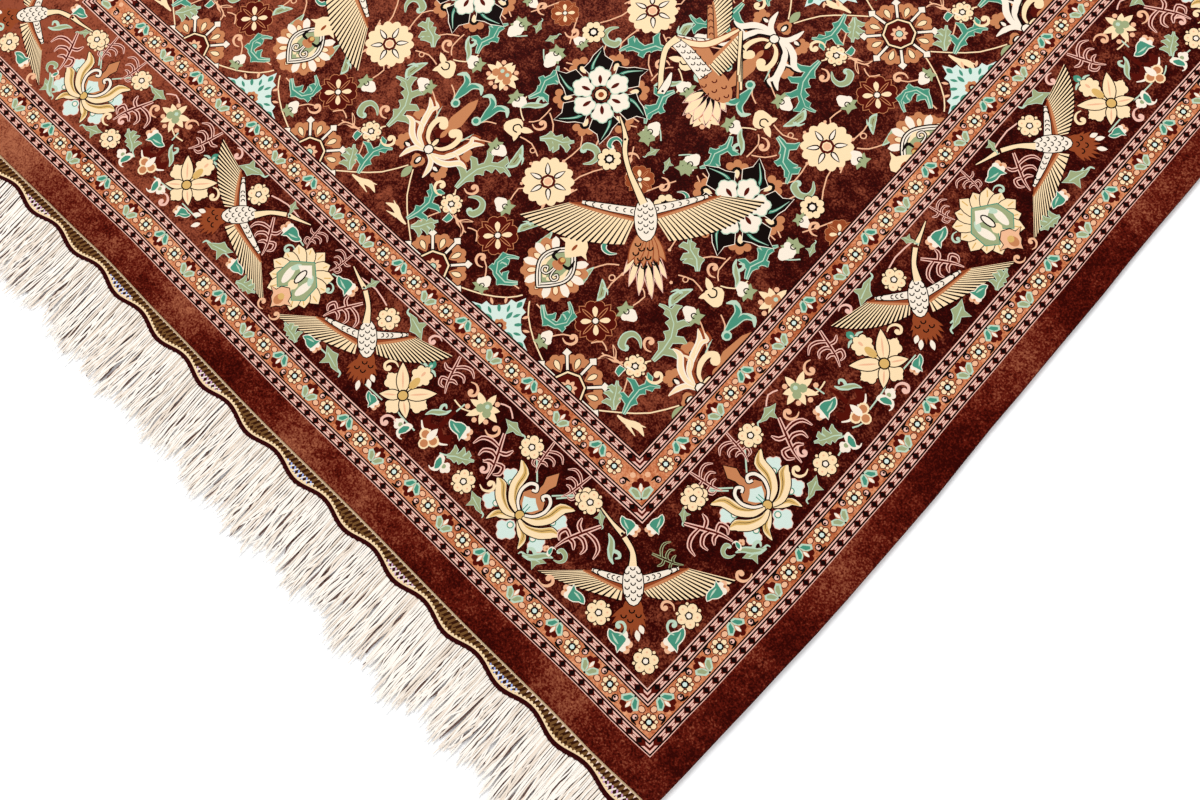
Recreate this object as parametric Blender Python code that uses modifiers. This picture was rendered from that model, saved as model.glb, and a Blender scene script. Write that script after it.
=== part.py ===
"""A hand-knotted silk rug lying flat: one woven piece and a fringe at each short end.

The woven piece is a thin ground cloth with a thicker block of cut pile standing on it.
The ground shows past the pile as a flat-woven strip at both short ends, whose outer edge
runs in shallow scallops, and as a hairline selvedge along both long sides.
Each fringe is the row of warp ends past one strip, gathered in flat tapering locks that
share one narrow root band. The long sides run along Y, and everything rests on Z = 0.
"""
import bpy
import math

# ---------------------------------------------------------------- driving sizes, metres
PILE_WIDTH = 1.000          # short side, along X
PILE_LENGTH = 1.620         # long side, along Y
PILE_TOP = 0.0050           # ground and cut pile together
PILE_ROUND = 0.0012         # soft shoulder round the top of the pile
GROUND_TOP = 0.0020         # flat-woven ground alone
SELVEDGE = 0.0008           # how far the ground shows past the pile on a long side
PILE_SINK = 0.0010          # the pile block starts this high inside the ground

END_STRIP = 0.0150          # mean width of the flat-woven strip at a short end
SCALLOP_DEEP = 0.0030       # the strip's edge swings this much either way
SCALLOP_PITCH = 0.0586      # from one crest to the next
SCALLOP_START = 0.1440      # first crest, from the corner of the pile

GAP = 0.0003                # air between two pieces that touch
ROOT_BAND = 0.0030          # band that holds the locks of a fringe
LOCKS = 144                 # locks in one fringe
LOCK_FILL = 0.90            # share of the pitch that a lock's root takes
LOCK_LENGTH = 0.0560        # mean reach past the root band
LOCK_ROOT_TOP = 0.0022      # thickness at the root, resting on the floor
LOCK_TIP_TOP = 0.0012       # thickness at the tip
LOCK_ROWS = 3               # stretches along one lock

# How far a woven edge runs inside its straight line, in mm, at stations in mm along it.
# "near" and "far" are the short ends, "right" and "left" the long sides.
EDGE_BOW = {
    "right": [{"at": 0, "inside": 4.0}, {"at": 50, "inside": 2.0}, {"at": 100, "inside": 0.0},
              {"at": 200, "inside": -2.5}, {"at": 300, "inside": -2.1},
              {"at": 400, "inside": 1.0}, {"at": 500, "inside": 3.0},
              {"at": 600, "inside": 6.0}, {"at": 700, "inside": 7.2},
              {"at": 900, "inside": 3.6}, {"at": 1100, "inside": -0.6},
              {"at": 1300, "inside": -2.4}, {"at": 1500, "inside": -0.4},
              {"at": 1620, "inside": 3.0}],
    "left": [{"at": 0, "inside": 3.0}, {"at": 120, "inside": 0.2}, {"at": 300, "inside": -2.5},
             {"at": 520, "inside": 0.6}, {"at": 760, "inside": 4.2},
             {"at": 1000, "inside": 3.0}, {"at": 1250, "inside": -1.0},
             {"at": 1420, "inside": -2.2}, {"at": 1620, "inside": 3.4}],
    "near": [{"at": 0, "inside": 0.8}, {"at": 60, "inside": -1.1}, {"at": 100, "inside": -0.4},
             {"at": 200, "inside": -1.5}, {"at": 320, "inside": -0.9},
             {"at": 440, "inside": -2.2}, {"at": 560, "inside": -0.7},
             {"at": 640, "inside": 0.9}, {"at": 700, "inside": -0.3},
             {"at": 790, "inside": -1.6}, {"at": 900, "inside": -0.6},
             {"at": 1000, "inside": 1.0}],
    "far": [{"at": 0, "inside": 1.2}, {"at": 150, "inside": -1.4}, {"at": 330, "inside": -0.2},
            {"at": 520, "inside": -1.9}, {"at": 720, "inside": 0.4},
            {"at": 880, "inside": -1.2}, {"at": 1000, "inside": 0.6}],
}

# Slow swings of the lock lengths and of the way the locks lean, per fringe, in mm.
LOCK_SWINGS = {
    "near": [{"pitch": 173, "longer": 2.6, "lean": 2.4, "start": 20},
             {"pitch": 61, "longer": 2.2, "lean": 1.3, "start": 5},
             {"pitch": 27, "longer": 1.6, "lean": 0.4, "start": 11}],
    "far": [{"pitch": 211, "longer": 2.4, "lean": 2.8, "start": 90},
            {"pitch": 74, "longer": 2.0, "lean": 1.2, "start": 31},
            {"pitch": 31, "longer": 1.7, "lean": 0.3, "start": 4}],
}


# ---------------------------------------------------------------- the woven outline
def bow(edge, at_m):
    """Metres that an edge runs inside its straight line, smoothly between stations."""
    rows = EDGE_BOW[edge]
    at = min(max(at_m * 1000, rows[0]["at"]), rows[-1]["at"])
    for low, high in zip(rows, rows[1:]):
        if at <= high["at"]:
            share = (at - low["at"]) / (high["at"] - low["at"])
            ease = share * share * (3 - 2 * share)
            return (low["inside"] + (high["inside"] - low["inside"]) * ease) / 1000
    return rows[-1]["inside"] / 1000


def plan(u, v):
    """World X, Y of a point u metres from the right pile edge and v from the near one.

    The four edges bow as their tables say, and the bow fades out towards the middle.
    """
    side = u / PILE_WIDTH
    end = v / PILE_LENGTH
    du = bow("right", v) * (1 - side) ** 2 - bow("left", v) * side ** 2
    dv = bow("near", u) * (1 - end) ** 2 - bow("far", u) * end ** 2
    return PILE_WIDTH / 2 - u - du, v + dv - PILE_LENGTH / 2


def strip_width(u):
    """Width of the flat-woven end strip at u, crest to crest in even scallops."""
    turn = math.tau * (u - SCALLOP_START) / SCALLOP_PITCH
    return END_STRIP + SCALLOP_DEEP * math.cos(turn)


def walk(length, step):
    """Even stations from 0 up to, and not including, the far end."""
    count = round(length / step)
    return [length * index / count for index in range(count)]


def outline(side_out, end_out, end_step):
    """The plan walked once round, counter-clockwise, side_out past the pile's long edges
    and end_out(u) past its short ones."""
    right, left = -side_out, PILE_WIDTH + side_out
    points = []
    for v in walk(PILE_LENGTH, 0.020):
        low, high = -end_out(0.0), PILE_LENGTH + end_out(0.0)
        points.append(plan(right, low + (high - low) * v / PILE_LENGTH))
    for u in walk(PILE_WIDTH, end_step):
        points.append(plan(right + (left - right) * u / PILE_WIDTH,
                           PILE_LENGTH + end_out(u)))
    for v in walk(PILE_LENGTH, 0.020):
        low, high = -end_out(PILE_WIDTH), PILE_LENGTH + end_out(PILE_WIDTH)
        points.append(plan(left, high - (high - low) * v / PILE_LENGTH))
    for u in walk(PILE_WIDTH, end_step):
        points.append(plan(left - (left - right) * u / PILE_WIDTH,
                           -end_out(PILE_WIDTH - u)))
    return points


# ---------------------------------------------------------------- scene helpers
def clear_scene():
    for item in list(bpy.data.objects):
        bpy.data.objects.remove(item, do_unlink=True)


def make_collection(name):
    made = bpy.data.collections.new(name)
    bpy.context.scene.collection.children.link(made)
    return made


def make_material(name, colour, roughness):
    made = bpy.data.materials.new(name)
    made.use_nodes = True
    shader = made.node_tree.nodes["Principled BSDF"]
    shader.inputs["Base Color"].default_value = (*colour, 1.0)
    shader.inputs["Roughness"].default_value = roughness
    shader.inputs["Metallic"].default_value = 0.0
    return made


def keep_only_in(item, home):
    for holder in list(item.users_collection):
        holder.objects.unlink(item)
    home.objects.link(item)


def slab(name, points, bottom, top, home):
    """A flat plate between two heights, from a filled 2D curve turned into a mesh."""
    curve = bpy.data.curves.new(name + "_outline", "CURVE")
    curve.dimensions = "2D"
    curve.fill_mode = "BOTH"
    curve.extrude = (top - bottom) / 2
    line = curve.splines.new("POLY")
    line.points.add(len(points) - 1)
    for point, (x, y) in zip(line.points, points):
        point.co = (x, y, 0.0, 1.0)
    line.use_cyclic_u = True
    drawn = bpy.data.objects.new(name + "_outline", curve)
    home.objects.link(drawn)
    graph = bpy.context.evaluated_depsgraph_get()
    mesh = bpy.data.meshes.new_from_object(drawn.evaluated_get(graph))
    made = bpy.data.objects.new(name, mesh)
    home.objects.link(made)
    bpy.data.objects.remove(drawn, do_unlink=True)
    made.location.z = (top + bottom) / 2
    weld = made.modifiers.new("weld caps", "WELD")
    weld.merge_threshold = 0.00001
    return made


# ---------------------------------------------------------------- the rug
def woven_piece(home, cutters):
    """Ground cloth and pile block, joined into one solid."""
    ground = slab("rug_woven", outline(SELVEDGE, strip_width, SCALLOP_PITCH / 10),
                  0.0, GROUND_TOP, home)
    pile = slab("pile_block", outline(0.0, lambda u: 0.0, 0.020),
                PILE_SINK, PILE_TOP, cutters)
    shoulder = pile.modifiers.new("soft shoulder", "BEVEL")
    shoulder.width = PILE_ROUND
    shoulder.segments = 2
    shoulder.limit_method = "ANGLE"
    shoulder.angle_limit = math.radians(60)
    pile.hide_render = True
    pile.display_type = "WIRE"
    joined = ground.modifiers.new("pile on ground", "BOOLEAN")
    joined.operation = "UNION"
    joined.solver = "EXACT"
    joined.object = pile
    ground.data.materials.clear()
    ground.data.materials.append(make_material("silk pile, brown", (0.115, 0.028, 0.018), 0.62))
    return ground


def lock_reach(end, u):
    """Length and sideways lean of the lock at u, from the slow swings of its fringe."""
    reach, lean = LOCK_LENGTH, 0.0
    for row in LOCK_SWINGS[end]:
        turn = math.tau * (u * 1000 - row["start"]) / row["pitch"]
        reach += row["longer"] / 1000 * math.sin(turn)
        lean += row["lean"] / 1000 * math.cos(1.3 * turn)
    return reach, lean


def fringe(end, home, material):
    """Root band and locks as one comb, cut from a grid and given its thickness.

    Grid columns alternate lock, gap, lock. The first grid row is the root band and the
    others are kept only in the lock columns.
    """
    columns = 2 * LOCKS - 1
    rows = 1 + LOCK_ROWS
    bpy.ops.mesh.primitive_grid_add(x_subdivisions=columns, y_subdivisions=rows, size=2.0)
    comb = bpy.context.object
    comb.name = "fringe_" + end
    comb.data.name = comb.name
    keep_only_in(comb, home)
    comb.data.materials.clear()
    comb.data.materials.append(material)

    pitch = PILE_WIDTH / LOCKS
    half = pitch * LOCK_FILL / 2
    for vertex in comb.data.vertices:
        column = round((vertex.co.x + 1) / 2 * columns)
        row = round((vertex.co.y + 1) / 2 * rows)
        lock, is_far_side = divmod(column, 2)
        middle = pitch * (lock + 0.5)
        side = half if is_far_side else -half
        if row <= 1:
            edge_u = middle + side
            out = strip_width(edge_u) + GAP + ROOT_BAND * row
        else:
            along = (row - 1) / LOCK_ROWS
            reach, lean = lock_reach(end, middle)
            edge_u = middle + side * (1 - 0.62 * along ** 2.5) + lean * along ** 1.6
            out = strip_width(middle) + GAP + ROOT_BAND + reach * along
        v = -out if end == "near" else PILE_LENGTH + out
        vertex.co.x, vertex.co.y = plan(edge_u, v)

    # cut the gaps between the locks out of the grid
    bpy.ops.object.select_all(action="DESELECT")
    comb.select_set(True)
    bpy.context.view_layer.objects.active = comb
    bpy.ops.object.mode_set(mode="EDIT")
    bpy.ops.mesh.select_mode(type="FACE")
    bpy.ops.mesh.select_all(action="DESELECT")
    bpy.ops.object.mode_set(mode="OBJECT")
    for polygon in comb.data.polygons:
        is_gap = (polygon.index % columns) % 2 == 1
        polygon.select = is_gap and polygon.index >= columns
    bpy.ops.object.mode_set(mode="EDIT")
    bpy.ops.mesh.delete(type="FACE")

    # thickness upward from the floor, thinner towards the tips
    bpy.ops.mesh.select_all(action="SELECT")
    bpy.ops.mesh.extrude_region_move(TRANSFORM_OT_translate={"value": (0, 0, LOCK_ROOT_TOP)})
    bpy.ops.mesh.select_all(action="SELECT")
    bpy.ops.mesh.normals_make_consistent(inside=False)
    bpy.ops.object.mode_set(mode="OBJECT")
    for vertex in comb.data.vertices:
        if vertex.co.z > 0:
            past_root = abs(vertex.co.y) - PILE_LENGTH / 2 - END_STRIP - ROOT_BAND
            share = min(max(past_root / LOCK_LENGTH, 0.0), 1.0)
            vertex.co.z = LOCK_ROOT_TOP + (LOCK_TIP_TOP - LOCK_ROOT_TOP) * share
    return comb


def build():
    clear_scene()
    home = make_collection("persian_rug")
    cutters = make_collection("cutters")
    woven_piece(home, cutters)
    silk = make_material("silk warp ends, ivory", (0.78, 0.70, 0.58), 0.55)
    fringe("near", home, silk)
    fringe("far", home, silk)


build()
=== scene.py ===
# %% [markdown]
# # A hand-knotted silk rug with birds, seen from above its corner
#
# This lesson dresses a plain model of a rug. The model gives the sizes: a block of cut
# pile 5 mm high on a thin ground cloth, and a fringe at each short end. The lesson adds
# what the eye sees: the woven pattern, the flat-woven end strips, and the separate silk
# threads of the fringe.
#
# Every size that the plain model was built from is repeated here by name, because the
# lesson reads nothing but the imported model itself.

# %% Load the plain model and keep its box
import bpy
import math
import random
import numpy
from mathutils import Matrix, Vector
from mathutils.geometry import delaunay_2d_cdt


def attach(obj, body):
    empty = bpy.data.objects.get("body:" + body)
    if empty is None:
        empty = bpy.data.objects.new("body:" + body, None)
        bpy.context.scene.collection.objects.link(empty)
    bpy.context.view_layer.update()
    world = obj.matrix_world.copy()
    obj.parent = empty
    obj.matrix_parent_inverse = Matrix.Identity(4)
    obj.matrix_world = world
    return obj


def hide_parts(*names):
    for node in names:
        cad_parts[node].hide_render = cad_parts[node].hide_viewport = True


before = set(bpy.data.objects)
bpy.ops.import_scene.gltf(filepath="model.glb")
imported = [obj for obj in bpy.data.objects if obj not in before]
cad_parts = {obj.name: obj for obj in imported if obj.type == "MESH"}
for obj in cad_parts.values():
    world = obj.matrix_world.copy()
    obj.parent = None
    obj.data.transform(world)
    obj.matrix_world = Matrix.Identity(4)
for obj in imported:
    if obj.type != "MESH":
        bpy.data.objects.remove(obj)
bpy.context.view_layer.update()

bpy.ops.object.select_all(action="DESELECT")
print("nodes:", sorted(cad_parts))

# %% [markdown]
# ## Sizes of the real rug
#
# All in metres. A rug lies flat, so its plan is worked out in two numbers: u runs along a
# short end from the right-hand long edge, v runs along the rug from the near end. The
# hand-made edges are not straight: they wander in and out by a few millimetres, and the
# pattern next to them wanders with them. `plan` turns u and v into a place in the scene.

# %% Sizes and the plan of the rug
PILE_WIDTH = 1.000
PILE_LENGTH = 1.620
PILE_TOP = 0.0050
PILE_ROUND = 0.0012
GROUND_TOP = 0.0020
SELVEDGE = 0.0008
END_STRIP = 0.0150
SCALLOP_DEEP = 0.0030
SCALLOP_PITCH = 0.0586
SCALLOP_START = 0.1440
LOCKS = 144
LOCK_LENGTH = 0.0560

# each woven edge: (mm along it, mm that it runs inside its straight line)
EDGE_BOW = {
    "right": ((0, 4.0), (50, 2.0), (100, 0.0), (200, -2.5), (300, -2.1), (400, 1.0), (500, 3.0),
              (600, 6.0), (700, 7.2), (900, 3.6), (1100, -0.6), (1300, -2.4), (1500, -0.4),
              (1620, 3.0)),
    "left": ((0, 3.0), (120, 0.2), (300, -2.5), (520, 0.6), (760, 4.2), (1000, 3.0),
             (1250, -1.0), (1420, -2.2), (1620, 3.4)),
    "near": ((0, 0.8), (60, -1.1), (100, -0.4), (200, -1.5), (320, -0.9), (440, -2.2),
             (560, -0.7), (640, 0.9), (700, -0.3), (790, -1.6), (900, -0.6), (1000, 1.0)),
    "far": ((0, 1.2), (150, -1.4), (330, -0.2), (520, -1.9), (720, 0.4), (880, -1.2),
            (1000, 0.6)),
}
# the swings of lock length and lean along each fringe: pitch and start in mm of u
LOCK_SWINGS = {
    "near": [{"pitch": 173, "longer": 2.6, "lean": 2.4, "start": 20},
             {"pitch": 61, "longer": 2.2, "lean": 1.3, "start": 5},
             {"pitch": 27, "longer": 1.6, "lean": 0.4, "start": 11}],
    "far": [{"pitch": 211, "longer": 2.4, "lean": 2.8, "start": 90},
            {"pitch": 74, "longer": 2.0, "lean": 1.2, "start": 31},
            {"pitch": 31, "longer": 1.7, "lean": 0.3, "start": 4}],
}


def bow(edge, at_m):
    """Metres that an edge runs inside its straight line, smoothly between stations."""
    rows = EDGE_BOW[edge]
    spot = min(max(at_m * 1000, rows[0][0]), rows[-1][0])
    for (low_at, low), (high_at, high) in zip(rows, rows[1:]):
        if spot <= high_at:
            share = (spot - low_at) / (high_at - low_at)
            ease = share * share * (3 - 2 * share)
            return (low + (high - low) * ease) / 1000
    return rows[-1][1] / 1000


def plan(u, v):
    """Scene X, Y of a place u metres from the right pile edge and v from the near one."""
    side = u / PILE_WIDTH
    end = v / PILE_LENGTH
    du = bow("right", v) * (1 - side) ** 4 - bow("left", v) * side ** 4
    dv = bow("near", u) * (1 - end) ** 2 - bow("far", u) * end ** 2
    return PILE_WIDTH / 2 - u - du, v + dv - PILE_LENGTH / 2


def strip_width(u):
    """Width of the flat-woven end strip at u metres, crest to crest in even waves."""
    return END_STRIP + SCALLOP_DEEP * math.cos(math.tau * (u - SCALLOP_START) / SCALLOP_PITCH)


def past_end(end, u, out):
    """Scene X, Y of a place that lies out metres past the pile at one end."""
    return plan(u, -out if end == "near" else PILE_LENGTH + out)


print("pile", PILE_WIDTH, "x", PILE_LENGTH, "m, edges wander by up to 7 mm")

# %% [markdown]
# ## Camera
#
# The picture was taken from above the rug's corner, tilted about twelve degrees from
# straight down. The place and turn below were worked out from the straight lines of the
# borders, at the rug's estimated size. A 25.5 mm lens on a 36 mm wide sensor gives the
# picture's strong closeness: the near corner is far bigger than the far border.

# %% Place the camera
CAMERA_PLACE = (0.38185, -0.67664, 0.67257)
CAMERA_RIGHT = (0.72898, 0.68123, -0.06715)
CAMERA_BACK = (0.17840, -0.09436, 0.97942)
camera_data = bpy.data.cameras.new("camera over the corner")
camera_data.lens = 25.5
camera_data.sensor_width = 36.0
camera_data.clip_start = 0.05
camera = bpy.data.objects.new("camera over the corner", camera_data)
bpy.context.scene.collection.objects.link(camera)
right = Vector(CAMERA_RIGHT).normalized()
back = Vector(CAMERA_BACK).normalized()
up = back.cross(right).normalized()
right = up.cross(back)
turned = Matrix((right, up, back)).transposed().to_4x4()
camera.matrix_world = Matrix.Translation(CAMERA_PLACE) @ turned
bpy.context.scene.camera = camera
print("camera", [round(x, 3) for x in camera.location], "lens", camera_data.lens)

# %% [markdown]
# ## Floor and light
#
# The rug lies on a plain white floor in a bright, even studio. A big soft lamp to the upper
# left makes the thin grey shadow along the edges. A pale sky all round fills the shadows.

# %% Floor and light
def add_lamp(name, place, aim, power, size, colour=(1, 1, 1)):
    """A square soft lamp that shines from place towards aim."""
    data = bpy.data.lights.new(name, "AREA")
    data.energy = power
    data.size = size
    data.color = colour
    lamp = bpy.data.objects.new(name, data)
    bpy.context.scene.collection.objects.link(lamp)
    lamp.location = place
    lamp.rotation_euler = (Vector(aim) - Vector(place)).to_track_quat("-Z", "Y").to_euler()
    return lamp


bpy.ops.mesh.primitive_plane_add(size=14.0, location=(0, 0, -0.0004))
floor = bpy.context.object
floor.name = "studio_floor"
bpy.ops.object.transform_apply(location=True, rotation=True, scale=True)
add_lamp("big soft lamp", (-1.9, 1.5, 2.6), (0, -0.2, 0), 118, 1.7)
add_lamp("fill lamp", (2.2, -2.0, 2.4), (0.1, -0.4, 0), 30, 2.4)
world = bpy.data.worlds.new("pale studio")
bpy.context.scene.world = world
world.use_nodes = True
world.node_tree.nodes["Background"].inputs["Color"].default_value = (0.97, 0.98, 1.0, 1)
world.node_tree.nodes["Background"].inputs["Strength"].default_value = 0.42
# the plain transform shows the white floor as white, and the contrast look makes the
# brown ground as deep as it is in the picture; the dyes were chosen under both
bpy.context.scene.view_settings.view_transform = "Standard"
bpy.context.scene.view_settings.look = "Medium High Contrast"
bpy.ops.object.select_all(action="DESELECT")
print("floor", tuple(round(x, 2) for x in floor.dimensions))

# %% [markdown]
# ## Drawing on graph paper
#
# A rug is knotted from a drawing on squared paper. Here the drawing is made of closed
# shapes in millimetres, x to the right and y down, angles in degrees clockwise. A few
# helpers make discs, petals, ribbons along smooth lines, and lobed edges. A motif is a
# list of (yarn, outline) pairs, and what comes later covers what came before.

# %% Round shapes and petals

def at(angle, far, x=0.0, y=0.0):
    """The point far from x, y in a direction in degrees: 0 is right, 90 is down."""
    return x + far * math.cos(math.radians(angle)), y + far * math.sin(math.radians(angle))


def disc(r, x=0.0, y=0.0, sides=12):
    """A round shape of radius r with its middle at x, y."""
    return [at(360 * k / sides, r, x, y) for k in range(sides)]


def oval(long, wide, x=0.0, y=0.0, turn=0.0, sides=14):
    """A round shape of two half widths, the long one turned so many degrees."""
    done = []
    for k in range(sides):
        a = math.tau * k / sides
        px, py = long * math.cos(a), wide * math.sin(a)
        c, s = math.cos(math.radians(turn)), math.sin(math.radians(turn))
        done.append((x + px * c - py * s, y + px * s + py * c))
    return done


def petal(length, wide, angle=-90.0, x=0.0, y=0.0, blunt=0.5, steps=6):
    """A petal from its foot at x, y. blunt runs from 0, pointed, to 1, round."""
    left, right = [], []
    for k in range(1, steps):
        t = k / steps
        round_end = math.sqrt(max(0.0, math.sin(math.pi * t ** 1.6)))
        sharp_end = math.sin(math.pi * t ** 0.8) ** 1.15
        half = wide / 2 * (blunt * round_end + (1 - blunt) * sharp_end)
        fx, fy = at(angle, length * t, x, y)
        left.append(at(angle - 90, half, fx, fy))
        right.append(at(angle + 90, half, fx, fy))
    return [(x, y)] + left + [at(angle, length, x, y)] + right[::-1]


def lobed(r, lobes, dent=0.2, x=0.0, y=0.0, turn=-90.0, per=4):
    """A round shape whose edge swells in even lobes."""
    done = []
    for k in range(lobes * per):
        swell = abs(math.sin(math.pi * (k / per + 0.5)))
        done.append(at(turn + 360 * k / (lobes * per), r * (1 - dent * (1 - swell)), x, y))
    return done


print("a petal has", len(petal(10, 5)), "marks, a disc", len(disc(1)))

# %% [markdown]
# ## Lines and ribbons
#
# Stems, arms and curls are smooth lines given a width. The line runs through a few marks,
# and the width may change along it. An outline can also be grown, which makes the thin rim
# that parts a motif from its ground.

# %% Lines and ribbons
def path(marks, per=4):
    """A smooth line through marks, a Catmull-Rom curve."""
    marks = [marks[0]] + list(marks) + [marks[-1]]
    done = []
    for a, b, c, d in zip(marks, marks[1:], marks[2:], marks[3:]):
        for k in range(per):
            t = k / per
            done.append(tuple(
                0.5 * (2 * q + (r - p) * t + (2 * p - 5 * q + 4 * r - s) * t * t
                       + (3 * q - p - 3 * r + s) * t ** 3)
                for p, q, r, s in zip(a, b, c, d)))
    done.append(tuple(marks[-1]))
    return done


def ribbon(line, widths):
    """A band along a line. widths are its full widths, spread evenly along it."""
    if not isinstance(widths, (list, tuple)):
        widths = [widths, widths]
    left, right = [], []
    last = len(line) - 1
    for k, (x, y) in enumerate(line):
        ax, ay = line[max(k - 1, 0)]
        bx, by = line[min(k + 1, last)]
        dx, dy = bx - ax, by - ay
        size = math.hypot(dx, dy) or 1.0
        place = k / last * (len(widths) - 1)
        low = min(int(place), len(widths) - 2)
        half = (widths[low] + (widths[low + 1] - widths[low]) * (place - low)) / 2
        nx, ny = -dy / size * half, dx / size * half
        left.append((x + nx, y + ny))
        right.append((x - nx, y - ny))
    return left + right[::-1]


def stroke(colour, marks, widths, per=3):
    """A ribbon of one colour along a smooth line through marks."""
    return colour, ribbon(path(marks, per), widths)


def grown(points, by):
    """The same closed shape with its edge moved out by so many mm."""
    area = sum(a[0] * b[1] - b[0] * a[1] for a, b in zip(points, points[1:] + points[:1]))
    side = 1 if area > 0 else -1
    done = []
    for k, (x, y) in enumerate(points):
        ax, ay = points[k - 1]
        bx, by_ = points[(k + 1) % len(points)]
        dx, dy = bx - ax, by_ - ay
        size = math.hypot(dx, dy) or 1.0
        done.append((x + side * dy / size * by, y - side * dx / size * by))
    return done


def edged(colour, points, edge="black", by=0.8):
    """A shape over a slightly larger one in the colour of its edge."""
    return [(edge, grown(points, by)), (colour, points)]


print("a smooth line through three marks has", len(path([(0, 0), (5, 2), (9, 0)])), "points")

# %% [markdown]
# ## Move, mirror and repeat
#
# Motifs are drawn about 0, 0 and put in place afterwards. Moving, mirroring and repeating
# are done to whole lists of shapes, so a flower is drawn only once.

# %% Move, mirror and repeat
def moved(shapes, u=0.0, v=0.0, turn=0.0, size=1.0, flip=1, tall=1.0):
    """Shapes drawn round 0, 0 put down at u, v: turned, scaled and, at flip -1, mirrored."""
    c, s = math.cos(math.radians(turn)), math.sin(math.radians(turn))
    done = []
    for colour, points in shapes:
        done.append((colour, [
            (u + size * (flip * x * c - y * tall * s), v + size * (flip * x * s + y * tall * c))
            for x, y in points]))
    return done


def mapped(shapes, change):
    """The same shapes with each mark x, y moved to change(x, y)."""
    return [(colour, [change(x, y) for x, y in points]) for colour, points in shapes]


def both(shapes):
    """Shapes and their mirror image left to right, pair by pair."""
    done = []
    for shape in shapes:
        done += [shape] + mapped([shape], lambda x, y: (-x, y))
    return done


def centre(points):
    """The mean of an outline's marks."""
    return sum(x for x, y in points) / len(points), sum(y for x, y in points) / len(points)


def tell(name, shapes):
    """Print how many shapes a motif is made of."""
    print(name + ":", len(shapes), "shapes")


def ring_of(shapes_at, count, start=0.0):
    """Shapes made for one direction, repeated evenly round the middle."""
    done = []
    for k in range(count):
        done += shapes_at(start + 360 * k / count)
    return done


tell("four discs in a ring", ring_of(lambda angle: [("pink", disc(1, *at(angle, 5)))], 4))

# %% [markdown]
# ## Small motifs
#
# Traditional rug drawing is built from a few small things: round rosettes, curls, hooked
# leaves, buds from the side. Each is drawn once here, about its own middle. A short formula
# keeps a flower even all round, which a hand-drawn outline would not.

# %% Rosettes and curls

def rosette(petals):
    """Small open flower, 10 mm from its middle to its tips."""
    done = []
    done += ring_of(lambda a: [("cream", disc(1.3, *at(a, 9.0), sides=6))], petals,
                    -90 + 180 / petals)
    far, r = 6.0, 15.3 / petals + 0.75
    done += ring_of(lambda a: [("black", disc(r + 0.7, *at(a, far), sides=10))], petals, -90)
    done += ring_of(lambda a: [("cream", disc(r, *at(a, far), sides=10))], petals, -90)
    done += ring_of(lambda a: [("peach", disc(0.9, *at(a, far + 0.6), sides=5))], petals, -90)
    done += [("black", disc(3.0, sides=10)), ("ivory", disc(2.0, sides=8))]
    return done


def comma(colour="peach"):
    """A curl with a round head, about 8 mm across, its tail ending low on the left."""
    line = path([(-7, 5), (-2, 6.5), (3, 4), (4.5, -1), (1, -4.2), (-2.2, -2.5), (-1.2, 0)], 3)
    body = ribbon(line, [0.9, 1.8, 2.6, 2.8, 2.6, 2.4, 2.2])
    head = disc(2.4, -0.9, -1.2, sides=9)
    return [(colour, body), (colour, head)]


def hook(colour="sage", light="mint"):
    """A fat hooked leaf, thin at its foot at 0, 0 and round at its head."""
    line = path([(0, 0), (5, 4), (11, 4), (14, -1), (12, -7), (8, -8)], 4)
    wide = ribbon(line, [0.8, 3.2, 4.6, 5.6, 6.0, 3.4])
    fill = ribbon(line, [0.2, 1.8, 3.0, 3.8, 4.2, 1.8])
    return [(light, wide), (light, disc(2.6, 8.2, -7.0, sides=8)), (colour, fill)]


def sprig():
    """A leaf with a long tip, a lobe and a curled foot, about 20 mm long."""
    body = ribbon(path([(-9, -7), (-4, -5), (0, 0), (4, 5), (10, 8)], 4), [1, 3.4, 6.0, 4.6, 0.6])
    lobe = ribbon(path([(-1, 0), (-6, 2), (-9, 0), (-7, -3)], 3), [3, 3, 2.4, 1.2])
    inner = ribbon(path([(-5, -5), (0, 0), (4, 5), (8, 7)], 3), [0.6, 3.0, 2.2, 0.3])
    return [("mint", body), ("mint", lobe), ("sage", inner)]


tell("rosette", rosette(5))

# %% [markdown]
# ## Buds from the side
#
# A bud is a pale blossom held by a green leaf. It is some fifteen knots wide, so a few
# plain outlines say all that the weaver could knot.

# %% Buds from the side
def two_tone():
    """Bud with a pale lobed half, a green pointed half and a dark eye."""
    green = [(-1, 7), (3, 4.5), (7, 6.5), (6.5, 1), (9, -3), (5, -4), (4.5, -9), (0, -5.5),
             (-2, 0)]
    pale = lobed(6.0, 3, 0.28, -4.6, -0.4, 180, 5)
    done = [("sage", green), ("ivory", pale), ("ivory", disc(3.2, -1.5, -4.6, sides=8))]
    eye = ribbon(path([(2.4, -1.6), (0.4, -2.4), (-1.6, -0.8), (-0.6, 1.6), (1.6, 1.8)], 3), 0.95)
    return done + [("black", eye)]


def crescent(blossom="ivory", heart="sage"):
    """Bud of a lobed blossom held by a curved teal leaf with a pale edge."""
    done = [(blossom, lobed(5.6, 4, 0.25, -6.4, 0.6, 180, 4)),
            (heart, disc(2.2, -4.6, 0.8, sides=7))]
    line = path([(6.0, -7.6), (2.6, -8.4), (-0.6, -5.2), (0.6, 0), (2.6, 4.6), (5.4, 6.8)], 3)
    done += [("ivory", ribbon(line, [0.8, 1.6, 5.6, 8.2, 7.4, 1.2]))]
    inner = path([(0.2, -6), (0.0, -3.4), (1.2, 0.6), (3.2, 4.4)], 3)
    return done + [("teal", ribbon(inner, [0.6, 4.4, 5.8, 1.4]))]


tell("two-tone bud", two_tone())

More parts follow.
